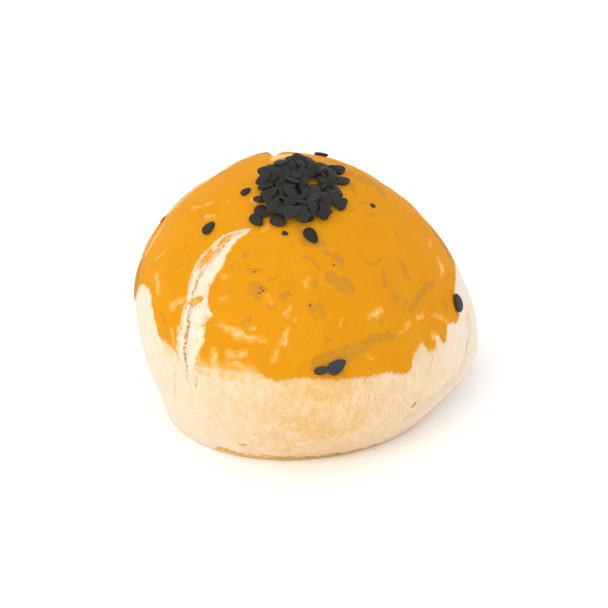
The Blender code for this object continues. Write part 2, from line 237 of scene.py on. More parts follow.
def leant(radius, turn, height):
    """Points at a radius, direction and height on the leaning bun."""
    share = height / HEIGHT
    east = AXIS[0] + radius * np.cos(turn) + LEAN[0] * share
    north = AXIS[1] + radius * np.sin(turn) + LEAN[1] * share
    return np.stack(np.broadcast_arrays(east, north, height), -1)


def skin(turn, height):
    """Points of the bun's even surface."""
    return leant(uneven_radius(turn, height), turn, height)


def skin_axes(turn, height):
    """The level direction, the uphill direction and the normal at points of the surface."""
    level = skin(turn + NEAR / RADIUS, height) - skin(turn - NEAR / RADIUS, height)
    uphill = skin(turn, height + NEAR) - skin(turn, height - NEAR)
    normal = np.cross(level, uphill)
    size = np.linalg.norm(normal, axis=-1, keepdims=True)
    normal = np.where(size > 0, normal / np.maximum(size, 1e-12), (0, 0, 1))
    level = level / np.maximum(np.linalg.norm(level, axis=-1, keepdims=True), 1e-12)
    return level, np.cross(normal, level), normal


def smooth_share(value, start, end):
    """Rises smoothly from 0 at start to 1 at end."""
    share = np.clip((value - start) / (end - start), 0, 1)
    return share * share * (3 - 2 * share)


def wrapped(turn):
    """The same direction between half a turn back and half a turn on."""
    return (turn + math.pi) % (2 * math.pi) - math.pi


def softness(turn):
    """How softly the glaze fades out at its lower edge, from 0 to 1."""
    amount = 0
    for direction, reach, share in SOFT_STRETCHES:
        away = np.abs(wrapped(turn - math.radians(direction))) / math.radians(reach)
        amount = np.maximum(amount, share * (1 - smooth_share(away, *SOFT_FADE)))
    return amount


def edge_step(turn):
    """Thickness of the glaze at its lower edge."""
    return GLAZE_STEP * (1 - SOFT_THINNING * softness(turn))


def glaze_edge(turn):
    """Height of the glaze's finely scalloped lower edge."""
    directions, levels = np.array(GLAZE_EDGE).T
    degrees = np.degrees(wrapped(turn))
    place = np.clip(np.searchsorted(directions, degrees) - 1, 0, len(directions) - 2)
    share = (degrees - directions[place]) / (directions[place + 1] - directions[place])
    ease = share * share * (3 - 2 * share)
    edge = levels[place] + (levels[place + 1] - levels[place]) * ease
    return edge + sum(size * np.cos(order * turn - math.radians(phase))
                      for order, size, phase in SCALLOPS)


def split_course(height):
    """Direction of the split's middle and half its width, smoothed along its height."""
    sides = []
    for side in (SPLIT_LEFT, SPLIT_RIGHT):
        directions, heights = np.array(side[::-1]).T
        spread = [height + SPLIT_SMOOTHING * share for share in (-1, -0.5, 0, 0.5, 1)]
        sides.append(sum(np.interp(level, heights, directions) for level in spread) / 5)
    middle = np.radians(sides[0] + sides[1]) / 2
    half = np.radians(sides[1] - sides[0]) / 2 * uneven_radius(middle, height)
    return middle, np.maximum(half, SPLIT_NARROWEST)


def split_depth(half):
    """Depth of the split where half its width is this."""
    return SPLIT_DEPTH[0] + SPLIT_DEPTH[1] * 2 * half


def split_bend(turn, height):
    """Bends columns so that they run along the split and its two sides at every height."""
    middle, half = split_course(height)
    half_turn = half / uneven_radius(middle, height)
    straight = math.radians(SPLIT_TURN)
    straight_half = math.radians(SPLIT_HALF_TURN)
    relax = smooth_share(height, SPLIT_TOP, HEIGHT)
    relax = relax + smooth_share(SPLIT_END - height, 0, SPLIT_RELAX)
    middle = middle + (straight - middle) * relax
    half_turn = half_turn + (straight_half - half_turn) * relax
    across = (turn - straight) / straight_half
    side = np.sign(across)
    pull = np.clip(1 - (np.abs(across) - 1) / SPLIT_PULL, 0, 1)
    beside = turn + (middle + side * half_turn - straight - side * straight_half) * pull
    return np.where(np.abs(across) <= 1, middle + across * half_turn, beside)


def column_turns():
    """Directions of the mesh's columns, closer at the front and closest at the split."""
    turns = []
    turn = -180.0
    while turn < 180 - BACK_COLUMN / 2:
        turns.append(turn)
        if abs(turn - SPLIT_TURN) < SPLIT_HALF_TURN * SPLIT_FINE:
            turn += SPLIT_COLUMN
        elif turn < FRONT_END:
            turn += FRONT_COLUMN
        else:
            turn += BACK_COLUMN
    return np.radians(turns)


def bent_rings(height_above, count):
    """Directions and heights of rings, whose heights follow from the glaze's edge."""
    turns = column_turns()
    turn = np.broadcast_to(turns, (count, len(turns)))
    for _ in range(BEND_ROUNDS):
        height = height_above(glaze_edge(turn))
        turn = split_bend(turns, height)
    return turn, height


def uneven(points, size, octaves=2, offset=0.0):
    """Smooth random values from -1 to 1 at points, that change over about a size."""
    spots = (np.asarray(points) / size + offset).reshape(-1, 3)
    values = [noise.fractal(Vector(spot), OCTAVE_FADE, OCTAVE_STEP, octaves) for spot in spots]
    return np.array(values).reshape(np.shape(points)[:-1])


noise.seed_set(CRUMPLE_SEED)


def crumpled(points, size, amount):
    """Points moved at random by up to about an amount, which makes round outlines uneven."""
    spots = (np.asarray(points) / size).reshape(-1, 3)
    moves = np.array([noise.noise_vector(Vector(spot)) for spot in spots])
    return points + moves.reshape(np.shape(points)) * amount


def distance_to_marks(points, marks):
    """Least distance from points to the outlines of marks, which taper between their spots."""
    least = np.full(np.shape(points)[:-1], 1.0)
    for mark in marks:
        spots = [skin(math.radians(spot[0]), np.float64(spot[1] / 1000)) for spot in mark]
        widths = [spot[2] / 1000 if len(spot) > 2 else 0.0 for spot in mark]
        if len(mark) == 1:
            least = np.minimum(least, np.linalg.norm(points - spots[0], axis=-1) - widths[0])
        for start, end, thin, wide in zip(spots, spots[1:], widths, widths[1:]):
            run = end - start
            share = np.clip((points - start) @ run / (run @ run), 0, 1)
            away = np.linalg.norm(points - start - run * share[..., None], axis=-1)
            least = np.minimum(least, away - thin - (wide - thin) * share)
    return least


def strewn_marks(seed, count, heights, half_widths, reach):
    """Short bent marks at random over the back."""
    draw = random.Random(seed)
    marks = []
    for _ in range(count):
        direction = draw.uniform(*BACK)
        height = draw.uniform(*heights)
        mark = []
        for _ in range(draw.choice((1, 2, 3))):
            mark.append((direction, height, draw.uniform(*half_widths)))
            direction += draw.uniform(-reach, reach) * BACK_SIDEWAYS
            height += draw.uniform(-reach, reach)
        marks.append(mark)
    return marks


def broken_depth(points):
    """Depth of the broken spot at points on the bun."""
    depth = np.zeros(points.shape[:-1])
    near = points[..., 2] > BROKEN_LEVEL
    moved = points[near]
    for size, amount in BROKEN_CRUMPLES:
        moved = crumpled(moved, size, amount)
    away = distance_to_marks(moved, BROKEN)
    depth[near] = BROKEN_DEPTH * (1 - smooth_share(away, *BROKEN_RIM))
    return depth


def swell(points):
    """Height of the bun's surface over its even form, with its broad hollows."""
    away = distance_to_marks(points, [[HOLLOW]])
    hollow = HOLLOW_DEPTH * (1 - smooth_share(away, 0, HOLLOW_REACH))
    height = SWELL_DEPTH * (uneven(points, SWELL_SIZE) - SWELL_SINK)
    return height - broken_depth(points) - hollow


def dough_drop(turn, below):
    """How far the dough lies below the glaze's surface at a distance below its edge."""
    return edge_step(turn) * np.clip(1 - below / GLAZE_FADE, 0, 1)


def stepped(place, stops):
    """A share that goes evenly from stop to stop, each given by its place and share."""
    places, shares = np.array(stops).T
    return np.interp(place, places, shares)


def stepped_share(turn, stops):
    """A share by direction, from stop to stop."""
    return stepped(np.degrees(wrapped(turn)), stops)


def ring_mesh(name, points, below=None, above=None):
    """Quads over closed rings of points, the first lowest, with a fan to a point past an end."""
    rings, columns = points.shape[:2]
    index = np.arange(rings * columns).reshape(rings, columns)
    following = np.roll(index, -1, axis=1)
    quads = np.stack([index[:-1], following[:-1], following[1:], index[1:]], -1)
    faces = quads.reshape(-1, 4).tolist()
    vertices = points.reshape(-1, 3).tolist()
    if below is not None:
        faces += [(int(b), int(a), len(vertices)) for a, b in zip(index[0], following[0])]
        vertices.append(below)
    if above is not None:
        faces += [(int(a), int(b), len(vertices)) for a, b in zip(index[-1], following[-1])]
        vertices.append(above)
    mesh = bpy.data.meshes.new(name)
    mesh.from_pydata(vertices, [], faces)
    return mesh


def lay_values(mesh, **fields):
    """Stores a number for each vertex under each name. Vertices past the last get the last."""
    for name, values in fields.items():
        numbers = np.ravel(values)
        extra = np.full(len(mesh.vertices) - len(numbers), numbers[-1])
        layer = mesh.attributes.new(name, "FLOAT", "POINT")
        layer.data.foreach_set("value", np.concatenate([numbers, extra]).astype(np.float32))


def add_piece(mesh, material):
    """Shows a mesh as a piece of the pastry, in place of the plain solid."""
    mesh.materials.append(material)
    mesh.shade_smooth()
    piece = bpy.data.objects.new(mesh.name, mesh)
    bpy.context.scene.collection.objects.link(piece)
    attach(piece, "root")
    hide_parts("pastry")


def feed(tree, made, inputs):
    """Gives a node its inputs, which are numbers, colours or other nodes' sockets."""
    for name, value in inputs.items():
        if isinstance(value, bpy.types.NodeSocket):
            tree.links.new(value, made.inputs[name])
        else:
            made.inputs[name].default_value = value


def add_node(tree, kind, inputs, **settings):
    """Adds a shader node."""
    made = tree.nodes.new("ShaderNode" + kind)
    for name, value in settings.items():
        setattr(made, name, value)
    feed(tree, made, inputs)
    return made


def math_node(tree, operation, first, second=0.0):
    """A sum, product or the like of two numbers."""
    return add_node(tree, "Math", {0: first, 1: second}, operation=operation).outputs[0]


def scaled_node(tree, value, factor, plus):
    """A number times a factor, plus another number."""
    return math_node(tree, "ADD", math_node(tree, "MULTIPLY", value, factor), plus)


def ramp_node(tree, value, start, end):
    """A mask that rises smoothly from 0 where the value is start to 1 where it is end."""
    spread = {"Value": value, "From Min": start, "From Max": end}
    return add_node(tree, "MapRange", spread, interpolation_type="SMOOTHSTEP").outputs[0]


def blend_node(tree, mask, under, over):
    """A colour that goes from one to another where the mask is 1."""
    under, over = [(*coat, 1) if isinstance(coat, tuple) else coat for coat in (under, over)]
    return add_node(tree, "Mix", {0: mask, 6: under, 7: over}, data_type="RGBA").outputs[2]


def tinted_node(tree, colour, over, mask, amount):
    """A colour with another laid over it by an amount where the mask is 1."""
    return blend_node(tree, math_node(tree, "MULTIPLY", mask, amount), colour, over)


def field_node(tree, name):
    """A number stored on the mesh."""
    return add_node(tree, "Attribute", {}, attribute_name=name).outputs["Fac"]


def moved_node(tree, place, **moves):
    """A place that is stretched or shifted."""
    return add_node(tree, "Mapping", {"Vector": place, **moves}).outputs[0]


def new_group(name, numbers, results):
    """An empty shader node group, that takes a place and numbers, and its two end nodes."""
    tree = bpy.data.node_groups.new(name, "ShaderNodeTree")
    tree.interface.new_socket(name="Place", in_out="INPUT", socket_type="NodeSocketVector")
    for label, value in numbers.items():
        socket = tree.interface.new_socket(
            name=label, in_out="INPUT", socket_type="NodeSocketFloat")
        socket.default_value = value
    for label in results:
        tree.interface.new_socket(name=label, in_out="OUTPUT", socket_type="NodeSocketFloat")
    given = tree.nodes.new("NodeGroupInput").outputs
    return tree, given, tree.nodes.new("NodeGroupOutput").inputs


def grain_node(tree, given, detail, roughness):
    """Smooth noise at a group's place, that changes over about the size given to it."""
    scale = math_node(tree, "DIVIDE", 1.0, given["Size"])
    grain = {"Vector": given["Place"], "Scale": scale, "Detail": detail, "Roughness": roughness}
    return add_node(tree, "TexNoise", grain).outputs["Fac"]


def inside_node(tree, value, start, end):
    """A mask that falls smoothly from 1 where the value is start to 0 where it is end."""
    return math_node(tree, "SUBTRACT", 1.0, ramp_node(tree, value, start, end))


def patches_group():
    """Irregular patches of a size in metres, with a share of the surface that they cover."""
    tree, given, result = new_group(
        "Patches", {"Size": 0.002, "Level": 0.55, "Softness": 0.05}, ("Mask", "Value"))
    value = grain_node(tree, given, detail=3.0, roughness=0.55)
    start = math_node(tree, "SUBTRACT", given["Level"], given["Softness"])
    end = math_node(tree, "ADD", given["Level"], given["Softness"])
    tree.links.new(ramp_node(tree, value, start, end), result["Mask"])
    tree.links.new(value, result["Value"])
    return tree


def veins_group():
    """Thin wandering lines of a size in metres, of a share of the surface."""
    tree, given, result = new_group("Veins", {"Size": 0.001, "Width": 0.03}, ("Mask",))
    grain = grain_node(tree, given, detail=2.0, roughness=0.55)
    apart = math_node(tree, "ABSOLUTE", math_node(tree, "SUBTRACT", grain, 0.5))
    tree.links.new(inside_node(tree, apart, 0.0, given["Width"]), result["Mask"])
    return tree


def outline_group():
    """A mask inside a ragged line that lies at a given distance."""
    tree, given, result = new_group(
        "Ragged outline", {"Distance": 0.0, "Reach": 0.0003, "Softness": 0.0001,
                           "Raggedness": 0.0003, "Size": 0.001}, ("Mask",))
    grain = grain_node(tree, given, detail=4.0, roughness=0.6)
    shift = math_node(tree, "SUBTRACT", grain, 0.5)
    distance = scaled_node(tree, shift, given["Raggedness"], given["Distance"])
    end = math_node(tree, "ADD", given["Reach"], given["Softness"])
    tree.links.new(inside_node(tree, distance, given["Reach"], end), result["Mask"])
    return tree


patches = patches_group()
veins = veins_group()
outline = outline_group()


def group_node(tree, group, place, inputs):
    """Places a node group with its own values, which are named in lower case here."""
    made = tree.nodes.new("ShaderNodeGroup")
    made.node_tree = group
    feed(tree, made, {"Place": place})
    feed(tree, made, {name.capitalize(): value for name, value in inputs.items()})
    return made.outputs


def patches_node(tree, place, **inputs):
    """The Mask and the Value of patches."""
    return group_node(tree, patches, place, inputs)


def veins_node(tree, place, **inputs):
    """The mask of veins."""
    return group_node(tree, veins, place, inputs)["Mask"]


def outline_node(tree, place, distance, **inputs):
    """The mask inside a ragged outline. The distance is a socket, or a field's name."""
    if isinstance(distance, str):
        distance = field_node(tree, distance)
    return group_node(tree, outline, place, {"distance": distance, **inputs})["Mask"]


def new_material(name, roughness, specular, subsurface):
    """A material with its Principled shader, and the place on the object."""
    material = bpy.data.materials.new(name)
    material.use_nodes = True
    tree = material.node_tree
    shader = tree.nodes["Principled BSDF"]
    feed(tree, shader, {
        "Roughness": roughness, "Specular IOR Level": specular,
        "Subsurface Weight": subsurface, "Subsurface Scale": 0.0015,
        "Subsurface Radius": (1.0, 0.55, 0.25)})
    return material, tree, shader, add_node(tree, "TexCoord", {}).outputs["Object"]


def finish_material(tree, shader, colour, height, distance):
    """Gives a shader its colour, and fine relief from a height between 0 and 1."""
    bump = add_node(tree, "Bump", {"Height": height, "Distance": distance, "Strength": 1.0})
    feed(tree, shader, {"Base Color": colour, "Normal": bump.outputs["Normal"]})


CREAM = (0.815, 0.695, 0.560)
FLOUR = (0.900, 0.775, 0.620)
PALE_GOLD = (0.880, 0.690, 0.420)
GOLDEN = (0.755, 0.460, 0.170)
STROKE = (0.690, 0.370, 0.100)
TOAST = (0.650, 0.385, 0.120)
DARK_CRACK = (0.480, 0.300, 0.120)
SMEARED = (0.800, 0.470, 0.140)
# Painted shade: the tan laid along the crease at the right, where shade falls
TUCK_SHADE = (0.680, 0.520, 0.350)
SMEAR_REACH = 0.0016        # thin glaze is smeared this far below its edge
# Painted light: the dough is less golden, so paler, towards the base, to offset the shade there
PAINTED_LIGHT_FOOT = 0.64          # share of the golden tone that is left near the base
PAINTED_LIGHT_HEIGHTS = (0.001, 0.012)

# How golden the dough is, and how toasted at its base, by direction
GOLDEN_STOPS = (
    (-180, 0.16), (-150, 0.17), (-130, 0.34), (-117, 0.50), (-105, 0.66), (-95, 0.86),
    (-84, 0.92), (-73, 0.80), (-61, 0.60), (-48, 0.48), (-34, 0.28), (-14, 0.04), (20, 0.00),
    (50, 0.12), (85, 0.50), (112, 0.72), (135, 0.45), (160, 0.20), (180, 0.16),
)
TOASTED_STOPS = (
    (-180, 0.2), (-130, 0.1), (-118, 0.6), (-112, 1.0), (-75, 1.0), (-66, 0.6), (-50, 0.3),
    (-20, 0.3), (20, 0.6), (90, 1.0), (140, 0.6), (180, 0.2),
)


def base_rings(turns):
    """Points of the base, from its middle out, and then of its rounded edge."""
    rings = []
    rim = uneven_radius(turns, 0.0) - BASE_ROUNDING
    for share in np.linspace(BASE_INNER, 1, BASE_RINGS, endpoint=False):
        ring = leant(rim * share, turns, np.zeros(len(turns)))
        rise = BASE_RELIEF * np.abs(uneven(ring, BASE_RELIEF_SIZE))
        ring[:, 2] += rise * (1 - share ** BASE_FLATNESS)
        rings.append(ring)
    for angle in np.linspace(math.pi / 2, 0, ROUND_RINGS, endpoint=False):
        level = BASE_ROUNDING * (1 - math.sin(angle))
        inset = BASE_ROUNDING * (1 - math.cos(angle))
        radius = uneven_radius(turns, level) - inset
        rings.append(leant(radius, turns, np.full(len(turns), level)))
    return rings


def hidden_rings(edge):
    """Points of the dough under the glaze, from above the glaze's edge up."""
    rings = []
    for angle in np.linspace(0, math.pi / 2, HIDDEN_RINGS, endpoint=False)[1:]:
        level = edge + (HEIGHT - edge) * math.sin(angle)
        turn = split_bend(column_turns(), level)
        from_split = (turn - split_course(level)[0]) / HIDDEN_DIP_TURN
        dip = HIDDEN_DIP * np.exp(-from_split ** 2) * (level < HIDDEN_DIP_TOP)
        surface = skin(turn, level)
        inset = UNDER_GLAZE + dip - swell(surface)
        rings.append(surface - skin_axes(turn, level)[2] * inset[:, None])
    return rings


def dough_mesh():
    """The body's mesh, with the fields that its colours follow."""
    shares = np.linspace(0, 1, SIDE_RINGS)[:, None]
    turn, height = bent_rings(
        lambda edge: BASE_ROUNDING + (edge - BASE_ROUNDING) * shares, SIDE_RINGS)
    edge = glaze_edge(turn)
    surface = skin(turn, height)
    normal = skin_axes(turn, height)[2]
    below = edge - height
    depth = dough_drop(turn, below)
    relief = swell(surface) * smooth_share(height, 0, SWELL_FOOT)
    stretched = surface / (1, 1, CREASE_SIZE[1] / CREASE_SIZE[0])
    relief += CREASE_DEPTH * uneven(stretched, CREASE_SIZE[0], offset=7.0)
    layers = np.abs(uneven(surface * (1, 1, LAYER_FLATNESS), LAYER_SIZE, offset=3.0))
    relief -= LAYER_DEPTH * layers * (1 - smooth_share(height, *LAYER_HEIGHTS))
    crack = distance_to_marks(surface, CRACKS)
    relief -= CRACK_DEPTH * (1 - smooth_share(crack, 0, CRACK_REACH))
    tuck = distance_to_marks(crumpled(surface, *TUCK_CRUMPLE), TUCK)
    relief -= TUCK_DEPTH * (1 - smooth_share(tuck, 0, TUCK_REACH))
    middle, half = split_course(height)
    across = (turn - middle) * uneven_radius(turn, height) / half
    inside = (height > SPLIT_END) & (np.abs(across) < 1)
    groove = (split_depth(half) + UNDER_GLAZE) * (1 - across ** SPLIT_FLATNESS)
    relief -= np.where(inside, groove, 0)
    side = surface + normal * (relief - depth)[..., None]

    below_side = base_rings(turn[0])
    above_side = hidden_rings(edge[-1])
    points = np.concatenate([below_side, side, above_side])
    top = (AXIS[0] + LEAN[0], AXIS[1] + LEAN[1], HEIGHT - UNDER_GLAZE - HIDDEN_TOP)
    mesh = ring_mesh("dough", points, below=(AXIS[0], AXIS[1], 0.0), above=top)
    every_speck = [*SPECKS, *strewn_marks(*BACK_SPECKS)]
    speck = distance_to_marks(crumpled(surface, *SPECK_CRUMPLE), every_speck)
    smear = softness(turn) * (1 - smooth_share(below, 0.0, SMEAR_REACH))
    rows = (len(below_side), len(above_side))
    fields = {"crack": (crack, 1), "tuck": (tuck, 1), "speck": (speck, 1), "smear": (smear, 0)}
    for name, (values, elsewhere) in fields.items():
        ends = [np.full((count, turn.shape[1]), elsewhere) for count in rows]
        lay_values(mesh, **{name: np.concatenate([ends[0], values, ends[1]])})
    ends = [np.tile(turn[0], (count, 1)) for count in rows]
    all_turns = np.concatenate([ends[0], turn, ends[1]])
    # Painted light: less golden tone towards the base, where shade falls
    rise = smooth_share(points[..., 2], *PAINTED_LIGHT_HEIGHTS)
    golden = stepped_share(all_turns, GOLDEN_STOPS) * (PAINTED_LIGHT_FOOT + (1 - PAINTED_LIGHT_FOOT) * rise)
    lay_values(mesh, golden=golden, toasted=stepped_share(all_turns, TOASTED_STOPS))
    return mesh


def dough_material():
    """Pale baked dough: floury cream with golden strokes, fine grain, toasted edges, and painted
    shade along the crease at the right.
    """
    material, tree, shader, place = new_material(
        "pale dough", roughness=0.80, specular=0.06, subsurface=0.04)
    upright = moved_node(tree, place, Scale=(1, 1, 0.55))
    aside = moved_node(tree, upright, Location=(0.013, 0.027, 0.041))

    broad = patches_node(tree, upright, size=0.0030, level=0.50, softness=0.16)["Mask"]
    uneven_gold = scaled_node(tree, broad, 0.36, plus=0.80)
    golden = math_node(tree, "MULTIPLY", field_node(tree, "golden"), uneven_gold)
    colour = blend_node(tree, golden, CREAM, GOLDEN)
    floury = blend_node(tree, golden, FLOUR, PALE_GOLD)

    blotches = patches_node(tree, upright, size=0.0010, level=0.54, softness=0.07)
    colour = tinted_node(tree, colour, floury, blotches["Mask"], amount=0.26)
    baked = patches_node(tree, aside, size=0.0009, level=0.55, softness=0.06)["Mask"]
    amount = scaled_node(tree, golden, 0.26, plus=0.04)
    colour = tinted_node(tree, colour, STROKE, baked, amount)
    strokes = veins_node(tree, upright, size=0.0010, width=0.030)
    amount = math_node(tree, "MULTIPLY", golden, 0.24)
    colour = tinted_node(tree, colour, STROKE, strokes, amount)
    wrinkles = veins_node(tree, place, size=0.00060, width=0.045)
    colour = tinted_node(tree, colour, floury, wrinkles, amount=0.30)
    grain = patches_node(tree, place, size=0.00034, level=0.635, softness=0.035)
    colour = tinted_node(tree, colour, TOAST, grain["Mask"], amount=0.34)
    smeared = patches_node(tree, upright, size=0.0012, level=0.47, softness=0.10)["Mask"]
    colour = tinted_node(tree, colour, SMEARED, smeared, field_node(tree, "smear"))

    # Painted shade along the crease at the right: the dough is darkened to tan near it
    tuck_shade = ramp_node(tree, field_node(tree, "tuck"), start=0.0021, end=0.0002)
    colour = tinted_node(tree, colour, TUCK_SHADE, tuck_shade, amount=0.46)
    height = add_node(tree, "SeparateXYZ", {"Vector": place}).outputs["Z"]
    base = outline_node(tree, place, height, reach=0.0002, softness=0.0012,
                        raggedness=0.0012, size=0.0016)
    colour = tinted_node(tree, colour, TOAST, base, field_node(tree, "toasted"))
    crack = outline_node(tree, place, "crack", reach=0.00004, softness=0.00010,
                         raggedness=0.00034, size=0.0005)
    colour = blend_node(tree, crack, colour, DARK_CRACK)
    speck = outline_node(tree, place, "speck", reach=0.00002, softness=0.00010,
                         raggedness=0.0002, size=0.0004)
    colour = blend_node(tree, speck, colour, TOAST)
    relief = math_node(tree, "ADD", grain["Value"], blotches["Value"])
    finish_material(tree, shader, colour, relief, distance=0.00012)
    return material


add_piece(dough_mesh(), dough_material())

# ---------------------------------------------------------------------------------------
# Torn layers: the inside of the dough where the crust split while it baked. Thin, soft
# layers of dough lie open there, palest in the middle and toasted where they tore.
# ---------------------------------------------------------------------------------------

LAYER_ROWS = 230
LAYER_COLUMNS = 96
LAYER_SPAN = (0.0146, 0.0392)   # heights that the opened layers cover
LAYER_OVERLAP = 0.00040         # how far they run on under the glaze
LAYER_TUCK = 0.00014            # depth at which they end there
LEDGE_STOPS = (             # share of the width left of the crack, by height
    (0.0148, 0.45), (0.0170, 0.42), (0.0200, 0.36), (0.0240, 0.24), (0.0290, 0.17),
    (0.0315, 0.24), (0.0340, 0.36), (0.0370, 0.47), (0.0392, 0.45),
)
SEAM_STOPS = (              # how browned the crack is, by height
    (0.0148, 0.0), (0.0164, 0.1), (0.0175, 0.9), (0.0262, 1.0), (0.0280, 0.4),
    (0.0310, 0.5), (0.0322, 1.0), (0.0332, 0.25), (0.0356, 0.2), (0.0364, 1.0),
    (0.0374, 0.9), (0.0380, 0.2), (0.0392, 0.2),
)
LEDGE_WANDER = 0.00022          # how much the crack wanders, and over what size
LEDGE_WANDER_SIZE = 0.0011
LEDGE_SLOPE = (-0.05, 0.02)     # half widths beside the crack over which the ledge drops
LEDGE_DEPTH = 0.13              # its depth, as a share of the split's
UPPER_LEDGE = (0.0322, 0.0342)  # golden skin is left on it above these heights
FLOOR_DEPTHS = (0.20, 0.62)     # the floor's at the right edge, and beside the crack
FLOOR_NARROWEST = 0.1           # in half widths
SEAM_WIDTH = 0.07               # the crack's width, in half widths
SEAM_DEEPER = 0.05
SEAM_FADE = (0.0004, 0.0009)    # it fades where half the split is narrower than this
TORN_EDGE = 0.10                # half widths over which the layers drop from the crust
TORN_RELIEF = 0.00010
TORN_RELIEF_SIZE = 0.0009
TORN_STRETCH = 2                # it is drawn out upwards by this much
TUCK_SPAN = (-0.00015, 0.00010)     # distances past the crust's edge where they go under
EDGE_SPAN = (-0.0003, 0.0003)       # distances from the glaze's edge where its step lies
INNER_CREAM = (0.840, 0.680, 0.540)
INNER_BLUSH = (0.800, 0.590, 0.400)
TORN_GOLD = (0.720, 0.310, 0.030)
TORN_BROWN = (0.560, 0.290, 0.035)


def torn_mesh():
    """A strip along the split: a torn ledge at its left, a crack, and the floor beside it."""
    level = np.linspace(*LAYER_SPAN, LAYER_ROWS)[:, None]
    middle, half = split_course(level)
    across = np.linspace(-1, 1, LAYER_COLUMNS)[None, :] * (1 + LAYER_OVERLAP / half)
    turn = middle + across * half / uneven_radius(middle, level)
    height = np.broadcast_to(level, turn.shape)
    surface = skin(turn, height)
    normal = skin_axes(turn, height)[2]

    wander = LEDGE_WANDER * uneven(surface, LEDGE_WANDER_SIZE, octaves=3, offset=5.0) / half
    crack = -1 + 2 * stepped(level, LEDGE_STOPS) + wander
    from_crack = across - crack
    on_ledge = 1 - smooth_share(from_crack, *LEDGE_SLOPE)
    along_floor = np.clip(from_crack / np.maximum(1 - crack, FLOOR_NARROWEST), 0, 1)
    floor_depth = FLOOR_DEPTHS[0] + (FLOOR_DEPTHS[1] - FLOOR_DEPTHS[0]) * (1 - along_floor) ** 2
    share = floor_depth + (LEDGE_DEPTH - floor_depth) * on_ledge
    seam = np.exp(-(from_crack / SEAM_WIDTH) ** 2) * smooth_share(half, *SEAM_FADE)
    seam = seam * stepped(level, SEAM_STOPS)
    share = share + SEAM_DEEPER * seam
    share = share * smooth_share(1 - np.abs(across), 0.0, TORN_EDGE)
    drawn_out = surface * (1, 1, 1 / TORN_STRETCH)
    relief = TORN_RELIEF * uneven(drawn_out, TORN_RELIEF_SIZE, octaves=3, offset=2.0)
    tuck = smooth_share((np.abs(across) - 1) * half, *TUCK_SPAN)
    below = glaze_edge(turn) - height
    ground = swell(surface) - dough_drop(turn, below) * smooth_share(below, *EDGE_SPAN)
    depth = split_depth(half) * share * (1 - tuck) + LAYER_TUCK * tuck - relief * (1 - tuck)
    points = surface + normal * (ground - depth)[..., None]

    rows, columns = turn.shape
    index = np.arange(rows * columns).reshape(rows, columns)
    quads = np.stack([index[:-1, :-1], index[:-1, 1:], index[1:, 1:], index[1:, :-1]], -1)
    mesh = bpy.data.meshes.new("torn_layers")
    mesh.from_pydata(points.reshape(-1, 3).tolist(), [], quads.reshape(-1, 4).tolist())
    lay_values(mesh, from_crack=from_crack * half, from_left=(1 + across) * half,
               along=height, seam=seam, upper=smooth_share(height, *UPPER_LEDGE))
    return mesh


def torn_material():
    """Soft inner dough, with a golden skin left on the ledge and a browned crack beside it."""
    material, tree, shader, place = new_material(
        "torn dough", roughness=0.75, specular=0.10, subsurface=0.20)
    from_crack = field_node(tree, "from_crack")
    along = add_node(tree, "CombineXYZ", {"X": from_crack, "Y": field_node(tree, "along")})
    streaky = moved_node(tree, along.outputs[0], Scale=(1, 0.35, 1))

    blush = patches_node(tree, streaky, size=0.0009, level=0.54, softness=0.10)["Mask"]
    colour = blend_node(tree, blush, INNER_CREAM, INNER_BLUSH)
    beside = ramp_node(tree, from_crack, start=0.00006, end=-0.00030)
    inner = ramp_node(tree, field_node(tree, "from_left"), start=0.00014, end=0.00040)
    left = math_node(tree, "MULTIPLY", beside, inner)
    streaks = patches_node(tree, streaky, size=0.00050, level=0.40, softness=0.10)
    gold = math_node(tree, "MULTIPLY", streaks["Mask"], left)
    colour = tinted_node(tree, colour, TORN_GOLD, gold, field_node(tree, "upper"))
    dots = patches_node(tree, place, size=0.00050, level=0.50, softness=0.04)["Mask"]
    colour = tinted_node(tree, colour, TORN_BROWN, dots, field_node(tree, "seam"))
    finish_material(tree, shader, colour, streaks["Value"], distance=0.00008)
    return material


add_piece(torn_mesh(), torn_material())

# ---------------------------------------------------------------------------------------
# Glaze: beaten egg yolk brushed over the top before baking. It sets to a thin golden
# skin that is darker tan in patches, thins out at its lower edge and opens along the split.
# Shade along its fold and a rim highlight along its left limbs are painted into its colour.
# ---------------------------------------------------------------------------------------

GLAZE_RINGS = 140
SKIN_BLISTER_SIZE = 0.0022
SKIN_BLISTER_DEPTH = 0.00006
SPLIT_LIP = 0.00006         # the skin curls up this much beside the split
SPLIT_LIP_REACH = 0.0010
RAGGED = 0.00032            # raggedness of the skin's edges at the split
RAGGED_SIZE = 0.0010
RAGGED_REACH = 0.0012
RIM_DROP = 0.00040          # its edges turn down this far
THIN_REACH = 0.003          # it thins out over this height above its lower edge
MARK_CRUMPLE = (0.0013, 0.0006)     # size and amount of the unevenness of its marks

# The fold in the skin at the right front
FOLD = (
    ((-89.0, 21.7), (-83.2, 23.2), (-78.0, 23.8), (-72.5, 24.2), (-66.8, 24.3),
     (-60.0, 24.1), (-53.2, 23.3)),
)
FOLD_DEPTH = 0.00022
FOLD_REACH = 0.0011
